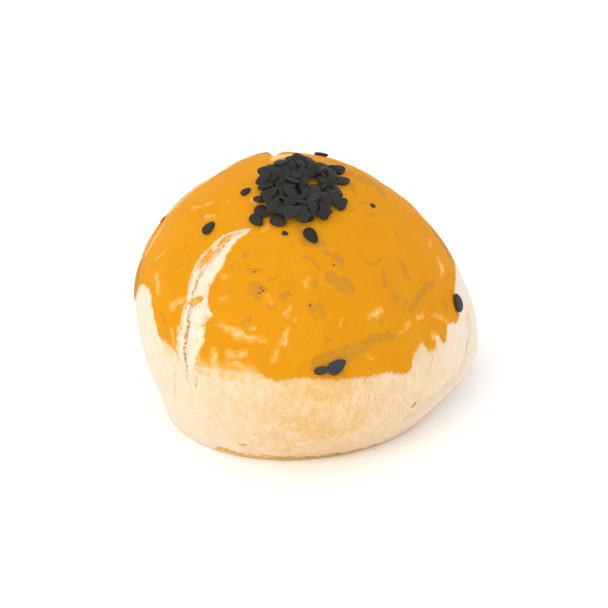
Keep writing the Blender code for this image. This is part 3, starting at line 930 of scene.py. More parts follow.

# Darker tan patches. The first, along the fold, is painted shade in the fold's crease.
TAN_PATCHES_AND_FOLD_SHADE = (
    ((-84.0, 22.6, 1.22), (-78.2, 22.9, 1.39), (-73.0, 23.3, 1.22), (-68.2, 23.6, 0.87),
     (-62.2, 23.7, 0.44), (-54.3, 22.8, 0.26)),
    ((-86.0, 21.4, 0.44), (-75.5, 20.4, 0.52)),
    ((-63.5, 24.7, 0.35), (-58.5, 23.9, 0.70), (-53.0, 23.0, 0.35)),
    ((-40.7, 24.8, 0.52), (-34.8, 25.2, 0.78), (-26.7, 25.4, 0.78), (-17.5, 25.3, 0.44)),
    ((-18.8, 22.1, 0.35), (-17.7, 20.5, 0.70)),
    ((-56.5, 27.0, 0.35), (-57.7, 25.8, 0.44)),
    ((-48.0, 28.6, 0.26), (-46.0, 27.5, 0.38)),
    ((-41.3, 26.4, 0.31), (-43.3, 25.8, 0.26)),
    ((-31.7, 30.5, 0.78), (-33.2, 29.3, 0.61), (-32.0, 28.1, 0.35)),
    ((-45.8, 31.8, 0.35), (-48.5, 30.2, 0.49)),
    ((-53.5, 33.8, 0.38), (-49.5, 33.0, 0.26), (-44.2, 33.0, 0.26)),
    ((-74.0, 33.6, 1.22), (-70.0, 32.6, 1.22), (-66.5, 31.7, 0.70)),
    ((-69.0, 35.9, 0.70), (-67.8, 34.8, 0.70)),
    ((-74.5, 36.5, 0.52), (-71.2, 35.9, 0.44)),
    ((-85.5, 36.6, 0.26), (-82.2, 36.1, 0.38), (-80.5, 35.1, 0.35)),
    ((-81.7, 33.5, 0.66), (-81.7, 32.8, 0.49)),
    ((-85.5, 30.8, 0.38), (-83.8, 30.1, 0.52), (-80.5, 30.6, 0.44), (-80.2, 29.3, 0.31)),
    ((-83.0, 29.2, 0.35),),
    ((-106.8, 32.7, 1.31), (-104.0, 32.7, 1.05), (-106.0, 31.8, 0.52)),
    ((-111.0, 34.6, 0.26), (-108.2, 35.1, 0.28), (-104.0, 34.8, 0.21)),
    ((-101.8, 33.9, 0.23), (-99.2, 34.4, 0.31), (-94.5, 33.6, 0.19)),
    ((-95.5, 32.3, 0.44), (-93.2, 32.2, 0.44), (-95.0, 31.6, 0.31)),
    ((-101.0, 30.7, 0.44), (-99.0, 30.8, 0.49)),
    ((-115.2, 36.7, 0.26), (-114.5, 36.3, 0.26)),
    ((-118.5, 34.7, 0.42),),
    ((-109.0, 28.1, 0.26), (-107.2, 28.8, 0.38)),
    ((-80.8, 26.6, 0.31), (-80.0, 25.7, 0.38)),
    ((-87.2, 39.3, 0.35), (-86.5, 38.3, 0.44), (-81.2, 37.5, 0.52), (-75.2, 37.6, 0.52)),
    ((-147.2, 34.8, 0.45), (-146.2, 34.4, 0.35)),
    ((-144.8, 31.9, 0.21), (-142.8, 32.7, 0.26)),
    ((-142.0, 25.3, 0.45), (-139.8, 24.5, 0.52)),
    ((-160.0, 38.1, 0.23), (-153.0, 37.9, 0.23)),
    ((-145.5, 39.1, 0.26),),
    ((30.0, 42.4, 0.8), (26.8, 41.2, 0.8)),
    ((8.8, 41.4, 1.0), (8.5, 40.1, 1.3), (13.3, 37.9, 1.3)),
    ((-12.0, 41.0, 0.6), (-20.5, 40.2, 0.5)),
    ((9.5, 38.3, 1.0), (1.0, 37.4, 0.8)),
    ((-25.8, 39.2, 0.31), (-16.5, 38.1, 0.35)),
    ((-51.2, 39.8, 0.26), (-38.5, 39.2, 0.38)),
    ((-32.8, 38.0, 0.17), (-21.7, 37.0, 0.21)),
    ((5.3, 35.6, 0.26), (5.3, 35.0, 0.21)),
    ((-11.8, 35.8, 0.24),), ((-11.8, 34.0, 0.26),), ((-23.0, 32.2, 0.17),),
    ((-20.5, 33.8, 0.38), (-22.0, 33.2, 0.26)),
    ((20.3, 28.5, 0.21), (16.8, 25.7, 0.26), (7.8, 23.9, 0.26)),
    ((35.0, 33.0, 1.0), (48.0, 31.8, 0.7)), ((88.0, 35.2, 1.2), (95.0, 33.0, 0.6)),
    ((120.0, 26.8, 0.9), (136.0, 26.2, 0.5)), ((160.0, 31.0, 0.4), (166.0, 28.0, 0.9)),
)
# Toasted edges of the crust at its left, right and top
TOASTED = (
    ((-170.8, 28.3, 0.7), (-173.8, 25.9, 1.5), (-168.6, 24.8, 1.3), (-167.0, 23.2, 1.3),
     (-167.6, 21.4, 1.3)),
    ((20.8, 28.9, 0.8), (15.5, 27.1, 1.3), (12.0, 24.9, 1.2), (9.2, 23.0, 0.6)),
    ((126.0, 40.8, 0.9), (119.7, 42.1, 0.9)), ((109.0, 43.4, 0.5), (90.0, 43.9, 0.4)),
    ((172.0, 30.6, 0.9),), ((146.0, 40.4, 0.3), (156.0, 39.2, 0.5), (163.0, 37.4, 0.3)),
    ((144.0, 36.3, 0.7), (141.0, 37.0, 0.9)), ((134.5, 38.5, 0.8), (130.5, 38.9, 0.7)),
)
# Pale flecks where the skin is thin or flaked. The long pale streaks along the left limb and the
# upper left limb, and the one along the top at 43.6 mm, are a painted rim highlight.
FLECKS_AND_RIM_HIGHLIGHT = (
    ((-114.0, 27.0, 0.35), (-110.6, 26.4, 0.62), (-106.0, 26.1, 0.42), (-101.0, 26.2, 0.32)),
    ((-106.0, 27.3, 0.17), (-105.0, 27.7, 0.26)),
    ((-113.2, 23.1, 0.44), (-110.2, 23.0, 0.38), (-107.2, 24.0, 0.31)),
    ((-113.5, 21.5, 0.35), (-109.5, 21.6, 0.42), (-106.8, 21.1, 0.28)),
    ((-94.0, 27.3, 0.42), (-95.0, 25.9, 0.45)), ((-97.0, 24.7, 0.26), (-98.2, 23.2, 0.31)),
    ((-92.8, 30.8, 0.21), (-94.2, 29.5, 0.23)), ((-100.5, 31.8, 0.17), (-100.0, 31.2, 0.24)),
    ((-85.5, 34.1, 0.16), (-86.5, 33.7, 0.16), (-85.5, 33.2, 0.18)), ((-91.0, 29.2, 0.17),),
    ((-73.5, 28.2, 0.16), (-74.5, 27.6, 0.24)),
    ((-61.8, 27.4, 0.38), (-58.5, 27.5, 0.66), (-55.7, 27.5, 0.44)),
    ((-65.8, 22.2, 0.17), (-64.5, 21.4, 0.16)), ((-46.7, 23.1, 0.31), (-43.3, 23.3, 0.38)),
    ((-37.2, 22.9, 0.42), (-34.0, 22.8, 0.35)), ((-51.0, 22.9, 0.17), (-48.5, 23.0, 0.17)),
    ((-27.2, 21.3, 0.21), (-24.0, 20.2, 0.28), (-19.7, 18.6, 0.17)),
    ((-32.8, 18.8, 0.55), (-30.8, 18.0, 0.80)), ((-45.5, 18.3, 0.34), (-43.2, 18.6, 0.48)),
    ((-41.2, 19.0, 0.42), (-39.6, 18.8, 0.44)),
    ((3.0, 29.0, 0.21), (-2.5, 28.4, 0.24)),
    ((-4.0, 26.5, 0.38), (-6.0, 25.1, 0.56), (-10.7, 24.5, 0.26)),
    ((-160.0, 30.2, 0.17), (-157.8, 31.9, 0.26)),
    ((-154.0, 29.3, 0.31), (-150.0, 28.6, 0.42), (-147.2, 27.7, 0.28)),
    ((-138.5, 26.8, 0.23), (-135.2, 28.5, 0.35)), ((-134.5, 28.8, 0.21), (-132.0, 29.1, 0.21)),
    ((-168.0, 37.4, 0.31), (-165.0, 37.9, 0.21)), ((-162.5, 38.6, 0.17), (-158.5, 39.3, 0.23)),
    ((-151.2, 38.4, 0.26), (-146.2, 38.7, 0.21)), ((-146.2, 40.5, 0.17),),
    ((-120.5, 33.3, 0.28),), ((-119.0, 30.6, 0.21), (-117.5, 31.3, 0.21)),
    ((-117.5, 27.2, 0.26), (-114.2, 26.7, 0.31)), ((-135.8, 23.7, 0.28), (-134.5, 21.0, 0.24)),
    ((-133.0, 24.6, 0.28), (-132.0, 21.9, 0.31), (-131.5, 19.7, 0.28)),
    ((-118.0, 23.3, 0.36), (-118.0, 21.4, 0.74), (-117.4, 19.4, 0.95)),
    ((-124.2, 22.4, 0.34), (-123.5, 20.4, 0.62), (-120.8, 19.6, 0.48)),
    # Painted rim highlight: from here to the streak along the top, all but the short fleck at
    # -131.8 degrees lie along the left and upper left limbs
    ((179.5, 32.2, 0.4), (-176.5, 31.0, 0.9), (-173.5, 29.2, 0.7), (-171.8, 27.6, 0.3)),
    ((128.0, 39.6, 0.3), (136.0, 39.6, 0.9), (143.0, 39.3, 0.5)),
    ((141.0, 39.8, 0.4), (149.0, 39.0, 1.1), (154.5, 37.6, 0.6)),
    ((152.0, 38.6, 0.4), (159.5, 37.5, 1.2), (163.0, 35.9, 0.8), (164.5, 34.4, 0.3)),
    ((161.5, 36.8, 0.3), (166.0, 34.6, 1.0), (167.0, 31.6, 0.7), (165.5, 29.9, 0.2)),
    ((150.5, 34.4, 0.4), (146.0, 35.6, 1.0), (141.5, 36.8, 1.3), (137.0, 37.8, 1.1),
     (132.0, 38.6, 0.4)),
    ((157.0, 36.2, 0.4), (151.0, 37.4, 1.1), (143.5, 38.4, 1.2), (136.0, 38.9, 0.6)),
    ((-131.8, 41.7, 0.25), (-127.5, 41.4, 0.2)),
    ((157.0, 43.6, 0.5), (141.0, 43.5, 0.9), (128.0, 43.6, 1.0), (112.0, 43.7, 0.9),
     (102.0, 43.5, 0.5)),
    ((-111.2, 39.2, 0.24), (-108.2, 39.6, 0.28)),
    ((70.0, 26.2, 0.6), (80.0, 25.5, 0.4)), ((140.0, 30.0, 0.5), (147.0, 31.0, 0.3)),
)
# Smaller marks of both kinds at the back
BACK_BROWNED = (5, 32, (23.0, 37.5), (0.22, 0.58), 1.4)
BACK_FLECKS = (6, 19, (23.0, 37.5), (0.16, 0.34), 1.3)
YOLK = (0.690, 0.277, 0.0070)
YOLK_DEEP = (0.665, 0.264, 0.0065)
# Darker tan of the patches, also used for the painted shade along the fold
TAN_AND_SHADE_YOLK = (0.520, 0.235, 0.022)
THIN_YOLK = (0.760, 0.400, 0.075)
# Pale colour of bare flecks, and of the painted rim highlight along the left limbs
BARE_AND_RIM_HIGHLIGHT = (0.820, 0.600, 0.340)
PALE_EDGE = (0.830, 0.650, 0.450)
TOASTED_EDGE = (0.400, 0.190, 0.040)


def glaze_mesh():
    """The skin's mesh, with the fields that its colours follow."""
    shares = np.sin(np.linspace(0, math.pi / 2, GLAZE_RINGS, endpoint=False))[:, None]
    turn, height = bent_rings(lambda edge: edge + (HEIGHT - edge) * shares, GLAZE_RINGS)
    surface = skin(turn, height)
    middle, half = split_course(height)
    radius = uneven_radius(turn, height)
    beside = np.abs(turn - middle) * radius - half
    in_reach = (height < SPLIT_TOP) & (height > SPLIT_END)

    side = np.sign(turn - middle)
    ragged = np.minimum(RAGGED, half / 2) * uneven(surface, RAGGED_SIZE, octaves=3, offset=9.0)
    ragged *= np.where(in_reach, 1 - smooth_share(beside, 0, RAGGED_REACH), 0)
    turn = turn + side * ragged / radius
    surface = skin(turn, height)
    normal = skin_axes(turn, height)[2]

    above = height - glaze_edge(turn)
    relief = swell(surface)
    relief -= (GLAZE_STEP - edge_step(turn)) * (1 - smooth_share(above, 0, THIN_REACH))
    relief += SKIN_BLISTER_DEPTH * uneven(surface, SKIN_BLISTER_SIZE, octaves=3, offset=4.0)
    fold = distance_to_marks(surface, FOLD)
    relief -= FOLD_DEPTH * (1 - smooth_share(fold, 0, FOLD_REACH))
    relief += np.where(in_reach, SPLIT_LIP * (1 - smooth_share(beside, 0, SPLIT_LIP_REACH)), 0)
    points = surface + normal * relief[..., None]

    top = (AXIS[0] + LEAN[0], AXIS[1] + LEAN[1], HEIGHT + float(relief[-1].mean()))
    mesh = ring_mesh("glaze", points, above=top)
    moved = crumpled(surface, *MARK_CRUMPLE)
    lay_values(mesh,
               above_edge=above, soft_edge=softness(turn),
               golden=stepped_share(turn, GOLDEN_STOPS),
               browned=distance_to_marks(moved, [*TAN_PATCHES_AND_FOLD_SHADE, *strewn_marks(*BACK_BROWNED)]),
               fleck=distance_to_marks(moved, [*FLECKS_AND_RIM_HIGHLIGHT, *strewn_marks(*BACK_FLECKS)]),
               broken=broken_depth(surface) / BROKEN_DEPTH,
               toasted=distance_to_marks(moved, TOASTED),
               beside_split=np.where(in_reach, beside, 1.0))
    open_split(mesh, height)
    return mesh


def open_split(mesh, height):
    """Cuts the skin open over the split, and turns all its edges down."""
    inner = np.abs(column_turns() - math.radians(SPLIT_TURN)) < math.radians(SPLIT_HALF_TURN)
    open_columns = inner & np.roll(inner, -1)
    columns = height.shape[1]
    shape = bmesh.new()
    shape.from_mesh(mesh)
    shape.faces.ensure_lookup_table()
    gone = []
    for ring in range(GLAZE_RINGS - 1):
        for column in np.flatnonzero(open_columns):
            if height[ring, column] < SPLIT_TOP:
                gone.append(shape.faces[ring * columns + int(column)])
    bmesh.ops.delete(shape, geom=gone, context="FACES")
    shape.normal_update()
    rim = [edge for edge in shape.edges if edge.is_boundary]
    normals = {tuple(vertex.co): vertex.normal.copy() for edge in rim for vertex in edge.verts}
    made = bmesh.ops.extrude_edge_only(shape, edges=rim)["geom"]
    for vertex in (item for item in made if isinstance(item, bmesh.types.BMVert)):
        vertex.co -= normals[tuple(vertex.co)] * RIM_DROP
    shape.normal_update()
    shape.to_mesh(mesh)
    shape.free()


def glaze_material():
    """Baked egg yolk: golden, darker tan in patches, with painted shade along the fold, pale
    flecks, a painted rim highlight along the left and upper left limbs, and a fading edge.
    """
    material, tree, shader, place = new_material(
        "egg yolk glaze", roughness=0.55, specular=0.03, subsurface=0.05)
    depth = patches_node(tree, place, size=0.0060, level=0.50, softness=0.16)["Mask"]
    colour = blend_node(tree, depth, YOLK, YOLK_DEEP)

    # Darker tan patches, and painted shade along the fold's crease
    browned = outline_node(tree, place, "browned", reach=-0.00010, softness=0.00034,
                           raggedness=0.0008, size=0.0011)
    spots = patches_node(tree, place, size=0.0013, level=0.68, softness=0.03)
    spotted = math_node(tree, "MULTIPLY", spots["Mask"], 0.7)
    brown = math_node(tree, "MAXIMUM", browned, spotted)
    mottle = patches_node(tree, place, size=0.0008, level=0.50, softness=0.14)["Mask"]
    mottled = scaled_node(tree, mottle, 0.35, plus=0.65)
    colour = tinted_node(tree, colour, TAN_AND_SHADE_YOLK, brown, mottled)
    toasted = outline_node(tree, place, "toasted", reach=-0.0004, softness=0.0009,
                           raggedness=0.0014, size=0.0009)
    colour = tinted_node(tree, colour, TOASTED_EDGE, toasted, amount=0.75)
    # The flecks' thin and bare masks also paint the rim highlight along the left and upper left
    # limbs
    thin = outline_node(tree, place, "fleck", reach=-0.00020, softness=0.00070,
                        raggedness=0.0010, size=0.0006)
    colour = tinted_node(tree, colour, THIN_YOLK, thin, amount=0.80)
    bare_and_rim_highlight = outline_node(tree, place, "fleck", reach=-0.00050, softness=0.00050,
                        raggedness=0.0012, size=0.0005)
    colour = tinted_node(tree, colour, BARE_AND_RIM_HIGHLIGHT, bare_and_rim_highlight, amount=0.55)
    layer = patches_node(tree, place, size=0.0010, level=0.42, softness=0.12)["Mask"]
    colour = tinted_node(tree, colour, PALE_EDGE, layer, field_node(tree, "broken"))

    soft = field_node(tree, "soft_edge")
    fade = scaled_node(tree, soft, 0.0032, plus=0.00008)
    thin_edge = outline_node(tree, place, "above_edge", reach=0.00002, softness=fade,
                             raggedness=fade, size=0.0014)
    colour = tinted_node(tree, colour, THIN_YOLK, thin_edge, soft)
    fade = scaled_node(tree, soft, 0.0016, plus=0.00006)
    edge = outline_node(tree, place, "above_edge", reach=0.00001, softness=fade,
                        raggedness=fade, size=0.0008)
    dough_colour = blend_node(tree, field_node(tree, "golden"), CREAM, GOLDEN)
    colour = blend_node(tree, edge, colour, dough_colour)
    frayed = outline_node(tree, place, "beside_split", reach=0.00006, softness=0.00045,
                          raggedness=0.0011, size=0.0008)
    colour = tinted_node(tree, colour, THIN_YOLK, frayed, amount=0.75)
    torn = outline_node(tree, place, "beside_split", reach=0.00004, softness=0.00022,
                        raggedness=0.0008, size=0.0006)
    bits = patches_node(tree, place, size=0.0008, level=0.46, softness=0.08)["Mask"]
    amount = scaled_node(tree, bits, 0.7, plus=0.3)
    colour = tinted_node(tree, colour, PALE_EDGE, torn, amount)

    grain = patches_node(tree, place, size=0.0007, level=0.55, softness=0.10)
    relief = math_node(tree, "ADD", grain["Value"], spots["Value"])
    finish_material(tree, shader, colour, relief, distance=0.00007)
    return material


add_piece(glaze_mesh(), glaze_material())

# ---------------------------------------------------------------------------------------
# Flakes: thin bits of crust that the oven lifted. One bridges the split, others hang from
# its edges and from the base's rim, and a few burnt crumbs are stuck in the glaze.
# ---------------------------------------------------------------------------------------

# Each by direction, height, turn in the crust's plane, length, width, lift and brownness
FLAKES = (
    (-128.8, 0.0295, 42, 0.0031, 0.0010, -0.00020, 0.0),
    (-123.2, 0.0265, 24, 0.0012, 0.0004, -0.00006, 0.5),
    (-122.0, 0.0275, -30, 0.0010, 0.0004, 0.00002, 0.1),
    (-132.8, 0.0368, 55, 0.0022, 0.0004, -0.00024, 0.2),
    (-133.4, 0.0341, 80, 0.0020, 0.0004, -0.00020, 0.1),
    (-132.4, 0.0282, 78, 0.0016, 0.0004, -0.00016, 0.3),
    (-132.2, 0.0252, 95, 0.0018, 0.0004, -0.00016, 0.1),
    (167.8, 0.0303, 30, 0.0020, 0.0014, 0.00010, 0.5),
    (-47.8, 0.0092, 35, 0.0011, 0.0005, 0.00002, 0.2),
    (-120.5, 0.0009, 3, 0.0046, 0.0010, 0.00008, 0.60),
    (-113.0, 0.0007, -2, 0.0058, 0.0011, 0.00012, 0.70),
    (-104.0, 0.0009, 2, 0.0044, 0.0009, 0.00008, 0.65),
    (-95.0, 0.0006, 0, 0.0066, 0.0011, 0.00008, 0.75),
    (-83.0, 0.0006, 1, 0.0070, 0.0010, 0.00008, 0.80),
    (-72.0, 0.0006, 1, 0.0060, 0.0010, 0.00006, 0.80),
    (-62.0, 0.0007, 3, 0.0040, 0.0008, 0.00004, 0.80),
)
CRUMBS = (
    (-108.2, 0.0347), (-104.5, 0.0329), (-103.5, 0.0326), (-104.7, 0.0323),
    (-85.2, 0.0308), (-72.0, 0.0350),
)
CRUMB_SIZE = 0.00026
CRUMB_LIFT = 0.00008
CRUMB_BROWNNESS = 2.0       # a flake is toasted at 1 and burnt at 2
FLAKE_THICKNESS = 0.00014
FLAKE_SIDES = 28
FLAKE_BANDS = 10
FLAKE_RAGGED = 0.30
FLAKE_RAGGED_SIZE = 0.7     # as a share of half its length
FLAKE_APART = 3.1           # keeps the flakes' outlines from being alike
FLAKE_CURL = 0.00012        # its ends stand up this much
BURNT = (0.060, 0.035, 0.012)


def flat_round(sides, bands):
    """A ball's points and faces, to be flattened."""
    shape = bmesh.new()
    bmesh.ops.create_uvsphere(shape, u_segments=sides, v_segments=bands, radius=1)
    points = np.array([vertex.co for vertex in shape.verts])
    faces = [[vertex.index for vertex in face.verts] for face in shape.faces]
    shape.free()
    return points, faces


def joined_mesh(name, copies, faces):
    """One mesh of several copies of a form, each given by its own points."""
    corners = len(copies[0])
    polygons = [[number * corners + corner for corner in face]
                for number in range(len(copies)) for face in faces]
    mesh = bpy.data.meshes.new(name)
    mesh.from_pydata(np.concatenate(copies).tolist(), [], polygons)
    return mesh


def flake_points(points, flake, number):
    """A ball's points laid over the crust as one thin flake."""
    direction, height, aim, length, width, lift, _ = flake
    spots = points * (1, 1, 0) + number * FLAKE_APART
    size = 1 + FLAKE_RAGGED * uneven(spots, FLAKE_RAGGED_SIZE)
    along = points[:, 0] * size * length / 2
    across = points[:, 1] * size * width / 2
    aim = math.radians(aim)
    level = along * math.cos(aim) - across * math.sin(aim)
    uphill = along * math.sin(aim) + across * math.cos(aim)
    turn = math.radians(direction)
    steep = float(skin_axes(turn, np.float64(height))[1][2])
    radius = float(uneven_radius(turn, np.float64(height)))
    turns = turn + level / radius
    heights = np.maximum(height + uphill * steep, 0.0)
    surface = skin(turns, heights)
    normal = skin_axes(turns, heights)[2]
    rise = lift + FLAKE_CURL * points[:, 0] ** 2 + points[:, 2] * FLAKE_THICKNESS / 2
    return surface + normal * (rise + swell(surface))[:, None]


def flake_mesh():
    """Every flake and crumb, joined into one mesh."""
    points, faces = flat_round(FLAKE_SIDES, FLAKE_BANDS)
    crumbs = [(direction, height, 0, CRUMB_SIZE, CRUMB_SIZE, CRUMB_LIFT, CRUMB_BROWNNESS)
              for direction, height in CRUMBS]
    every = [*FLAKES, *crumbs]
    copies = [flake_points(points, flake, number) for number, flake in enumerate(every)]
    mesh = joined_mesh("flakes", copies, faces)
    lay_values(mesh, brownness=np.repeat([flake[-1] for flake in every], len(points)))
    return mesh


def flake_material():
    """Thin crust, golden to toasted, and burnt on the crumbs."""
    material, tree, shader, place = new_material(
        "flaked crust", roughness=0.70, specular=0.06, subsurface=0.05)
    brownness = field_node(tree, "brownness")
    mottle = patches_node(tree, place, size=0.0006, level=0.50, softness=0.10)
    colour = blend_node(tree, mottle["Mask"], YOLK, THIN_YOLK)
    colour = blend_node(tree, ramp_node(tree, brownness, 0.0, 1.0), colour, TOAST)
    colour = blend_node(tree, ramp_node(tree, brownness, 1.0, 2.0), colour, BURNT)
    finish_material(tree, shader, colour, mottle["Value"], distance=0.00005)
    return material


add_piece(flake_mesh(), flake_material())

# ---------------------------------------------------------------------------------------
# Sesame: black seeds strewn on the wet glaze before baking, most in a heap on the top.
# Each is a flat drop with a raised rim, and is held by the glaze that set round it.
# ---------------------------------------------------------------------------------------

SEED_LENGTH = 0.00295
SEED_WIDTH = 0.0021
SEED_THICKNESS = 0.00095
SEED_TAPER = 0.30
SEED_RIM = (0.62, 0.97)     # shares of the way out over which its rim rises
SEED_FACE = (0.35, 0.80)    # and over which its middle is thinner
SEED_MIDDLE = 0.86          # thickness of its middle, as a share
SEED_SIZES = (0.90, 1.08)
SEED_SINK = 0.00022         # how deep it sits in the glaze
SEED_TILT = 14              # degrees, for a seed of the heap and for a lone one
LONE_TILT = 4
SEED_LEAN = 0.35            # how much it leans on those under it
SEED_TONES = 0.4            # how worn the seeds are at most
RANDOM_SEED = 12
SEED_SIDES = 24
SEED_BANDS = 16
SEED_COAT = (0.0145, 0.0137, 0.0112)
SEED_WORN = (0.0400, 0.0380, 0.0350)
SEED_RIDGE = (0.0420, 0.0410, 0.0360)

# Seeds that lie by themselves: direction, height, turn, size and plumpness
LONE_SEEDS = (
    (-142.0, 0.0376, 90, 0.92, 1), (-116.5, 0.0399, -36, 1.02, 1),
    (-81.0, 0.0385, -68, 1.05, 1), (-96.5, 0.0390, -20, 0.38, 1),
    (-142.5, 0.0418, 78, 0.66, 1), (60.3, 0.0413, 22, 0.85, 1), (-68.2, 0.0401, -85, 0.60, 1),
    (-18.2, 0.0380, -31, 0.42, 1), (-9.5, 0.0193, 88, 1.18, 1), (-82.7, 0.0215, 4, 0.98, 0.66),
    (-78.0, 0.0218, 26, 1.18, 0.92),
)
WORN_SEEDS = 3              # the last of them are worn to grey
# Seeds along the heap's rim: x, y and turn
RIM_SEEDS = (
    (-0.0049, -0.0008, -5), (-0.0027, 0.0015, -5), (-0.0001, 0.0017, -58),
    (0.0025, 0.0006, 5), (0.0051, 0.0014, 54), (0.0058, -0.0013, 43),
    (0.0043, -0.0051, -19), (0.0053, -0.0072, 41), (0.0024, -0.0098, -11),
    (-0.0006, -0.0116, -15), (-0.0050, -0.0124, -41), (-0.0076, -0.0104, -46),
    (-0.0078, -0.0081, 8), (-0.0070, -0.0064, -42), (-0.0072, -0.0036, -15),
    (-0.0059, -0.0092, 35), (-0.0034, -0.0108, 62), (0.0041, -0.0001, 15),
    (0.0040, -0.0026, -40),
)
HEAP_MIDDLE = (-0.0017, -0.0059)
HEAP_REACH = 0.0064
INNER_SEEDS = 58
INNER_JITTER = 0.0004
GAP_MIDDLE = (0.0004, -0.0042)  # a bare spot within the heap
GAP_REACH = 0.0013
GOLDEN_ANGLE = math.pi * (3 - math.sqrt(5))
PLACE_ROUNDS = 6            # rounds in which a place on the dome settles


def uneased(share, ease):
    """The share that eased() turns into this one."""
    return math.sqrt((share * (math.hypot(1, ease) - ease) + ease) ** 2 - ease ** 2)


def place_under(x, y):
    """The direction and height of the dome's surface straight below the point (x, y)."""
    height = HEIGHT
    for _ in range(PLACE_ROUNDS):
        east = x - AXIS[0] - LEAN[0] * height / HEIGHT
        north = y - AXIS[1] - LEAN[1] * height / HEIGHT
        turn = math.atan2(north, east)
        share = math.hypot(east, north) / (RADIUS * waves(BELLY_WAVES, turn))
        climb = uneased((1 - share ** DOME_POWER) ** (1 / DOME_POWER), DOME_EASE)
        widest = WIDEST_LEVEL - WIDEST_SWING * math.cos(turn - math.radians(DIP_DIRECTION))
        height = widest + (HEIGHT - widest) * climb
    return turn, height


def lay_seed(turn, height, aim, size, lift, tilt):
    """The matrix of a seed that lies on the crust, raised by lift and tilted by a vector."""
    level, uphill, normal = map(Vector, skin_axes(turn, np.float64(height)))
    up = (normal + tilt).normalized()
    along = level * math.cos(aim) + uphill * math.sin(aim)
    across = up.cross(along).normalized()
    along = across.cross(up)
    raised = SEED_THICKNESS * size / 2 - SEED_SINK + lift
    middle = Vector(skin(turn, np.float64(height))) + normal * raised
    turned = Matrix((along, across, up)).transposed().to_4x4()
    return Matrix.Translation(middle) @ turned @ Matrix.Scale(size, 4)


def random_tilt(draw, angle):
    """A small vector that tilts a seed's normal by up to about an angle in degrees."""
    most = math.tan(math.radians(angle))
    return Vector([draw.uniform(-most, most) for _ in range(3)])


def heap_spots(draw):
    """x, y and turn of each seed of the heap: its rim, then the seeds within in mixed order."""
    inner = []
    for count in range(INNER_SEEDS):
        share = math.sqrt((count + 0.5) / INNER_SEEDS)
        bearing = count * GOLDEN_ANGLE
        x = HEAP_MIDDLE[0] + HEAP_REACH * share * math.cos(bearing)
        y = HEAP_MIDDLE[1] + HEAP_REACH * share * math.sin(bearing)
        x += draw.uniform(-INNER_JITTER, INNER_JITTER)
        y += draw.uniform(-INNER_JITTER, INNER_JITTER)
        if math.dist((x, y), GAP_MIDDLE) > GAP_REACH:
            inner.append((x, y, draw.uniform(0, 360)))
    draw.shuffle(inner)
    return [*RIM_SEEDS, *inner]


def heap_matrices(draw):
    """Matrices of the heap's seeds: each lies on the crust, or leans on those under it."""
    spread = (SEED_LENGTH + SEED_WIDTH) / 2
    laid = []
    matrices = []
    for x, y, direction in heap_spots(draw):
        lift = 0
        tilt = random_tilt(draw, SEED_TILT)
        for other_x, other_y, other_lift in laid:
            apart = math.dist((x, y), (other_x, other_y)) / spread
            if apart < 1:
                rise = (SEED_THICKNESS - SEED_SINK) * math.sqrt(1 - apart * apart)
                lift = max(lift, other_lift * (1 - apart) + rise)
                tilt += Vector((x - other_x, y - other_y, 0)) * SEED_LEAN / spread
        laid.append((x, y, lift))
        turn, height = place_under(x, y)
        aim = math.radians(direction - 90) - turn
        matrices.append(lay_seed(turn, height, aim, draw.uniform(*SEED_SIZES), lift, tilt))
    return matrices


def lone_matrices(draw):
    """Matrices of the seeds that lie by themselves."""
    matrices = []
    for direction, height, aim, size, plumpness in LONE_SEEDS:
        tilt = random_tilt(draw, LONE_TILT)
        laid = lay_seed(math.radians(direction), height, math.radians(aim), size, 0, tilt)
        matrices.append(laid @ Matrix.Diagonal((1, plumpness, 1, 1)))
    return matrices


def seed_shape():
    """One seed, a flat drop along +X: its points, faces and how near each is to its rim."""
    points, faces = flat_round(SEED_SIDES, SEED_BANDS)
    points = points[:, [2, 1, 0]] * (1, 1, -1)
    flat = np.hypot(points[:, 0], points[:, 1])
    rim = smooth_share(flat, *SEED_RIM)
    plump = SEED_MIDDLE + (1 - SEED_MIDDLE) * smooth_share(flat, *SEED_FACE)
    points[:, 2] *= SEED_THICKNESS / 2 * plump
    points[:, 1] *= SEED_WIDTH / 2 * (1 - SEED_TAPER * points[:, 0])
    points[:, 0] *= SEED_LENGTH / 2
    return points, faces, rim


def seed_mesh():
    """Every seed, joined into one mesh."""
    draw = random.Random(RANDOM_SEED)
    points, faces, rim = seed_shape()
    matrices = heap_matrices(draw) + lone_matrices(draw)
    copies = [points @ np.array(matrix.to_3x3()).T + np.array(matrix.translation)
              for matrix in matrices]
    tones = [SEED_TONES * draw.random() for _ in matrices[:-WORN_SEEDS]] + [1.0] * WORN_SEEDS
    mesh = joined_mesh("seeds", copies, faces)
    lay_values(mesh, rim=[rim] * len(matrices), tone=np.repeat(tones, len(points)))
    return mesh


def seed_material():
    """Matt black seed coats, a little paler along their ridges."""
    material, tree, shader, place = new_material(
        "black sesame", roughness=0.60, specular=0.20, subsurface=0.0)
    ridges = patches_node(tree, place, size=0.00030, level=0.60, softness=0.08)
    colour = blend_node(tree, field_node(tree, "tone"), SEED_COAT, SEED_WORN)
    colour = tinted_node(tree, colour, SEED_RIDGE, field_node(tree, "rim"), ridges["Mask"])
    finish_material(tree, shader, colour, ridges["Value"], distance=0.00006)
    return material


add_piece(seed_mesh(), seed_material())

# ---------------------------------------------------------------------------------------
# Stage: a plain pale floor under soft light from the upper left, with the camera looking
# down on the pastry's front.
# ---------------------------------------------------------------------------------------

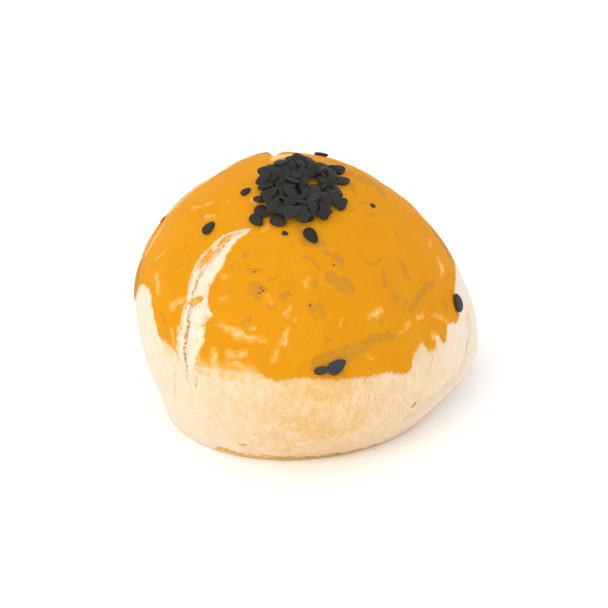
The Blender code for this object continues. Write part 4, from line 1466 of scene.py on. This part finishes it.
FLOOR_SIZE = 8.0
FLOOR_WHITE = (0.96, 0.96, 0.96)
SKY = (0.985, 0.995, 1.000)
SKY_STRENGTH = 1.15
KEY_SIZE = 0.9
KEY_POWER = 6.0
KEY_PLACE = (-0.90, -0.85, 0.95)
KEY_COLOUR = (1.0, 0.985, 0.96)
CAMERA_DISTANCE = 0.45
CAMERA_ELEVATION = 31
CAMERA_TARGET = (-0.00074, -0.00066, 0.01707)
CAMERA_NEAR = 0.01
VIEW_WIDTH = 0.10596        # width of the picture at the target
SENSOR = 36

bpy.ops.mesh.primitive_plane_add(size=FLOOR_SIZE)
floor = bpy.context.object
floor.name = "floor"
floor_material, _, floor_shader, _ = new_material(
    "floor", roughness=0.9, specular=0.0, subsurface=0.0)
floor_shader.inputs["Base Color"].default_value = (*FLOOR_WHITE, 1)
floor.data.materials.append(floor_material)

world = bpy.data.worlds.new("studio")
world.use_nodes = True
background = world.node_tree.nodes["Background"]
background.inputs["Color"].default_value = (*SKY, 1)
background.inputs["Strength"].default_value = SKY_STRENGTH
bpy.context.scene.world = world

key = bpy.data.lights.new("key", "AREA")
key.shape = "DISK"
key.size = KEY_SIZE
key.energy = KEY_POWER
key.color = KEY_COLOUR
key_light = bpy.data.objects.new("key", key)
key_light.location = KEY_PLACE
key_light.rotation_euler = (-Vector(KEY_PLACE)).to_track_quat("-Z", "Y").to_euler()
bpy.context.scene.collection.objects.link(key_light)

camera = bpy.data.cameras.new("camera")
camera.sensor_width = SENSOR
camera.lens = SENSOR * CAMERA_DISTANCE / VIEW_WIDTH
camera.clip_start = CAMERA_NEAR
viewer = bpy.data.objects.new("camera", camera)
rise = math.radians(CAMERA_ELEVATION)
offset = Vector((0, -math.cos(rise), math.sin(rise))) * CAMERA_DISTANCE
viewer.location = Vector(CAMERA_TARGET) + offset
viewer.rotation_euler = (math.pi / 2 - rise, 0, 0)
bpy.context.scene.collection.objects.link(viewer)
bpy.context.scene.camera = viewer
bpy.context.scene.view_settings.view_transform = "Standard"
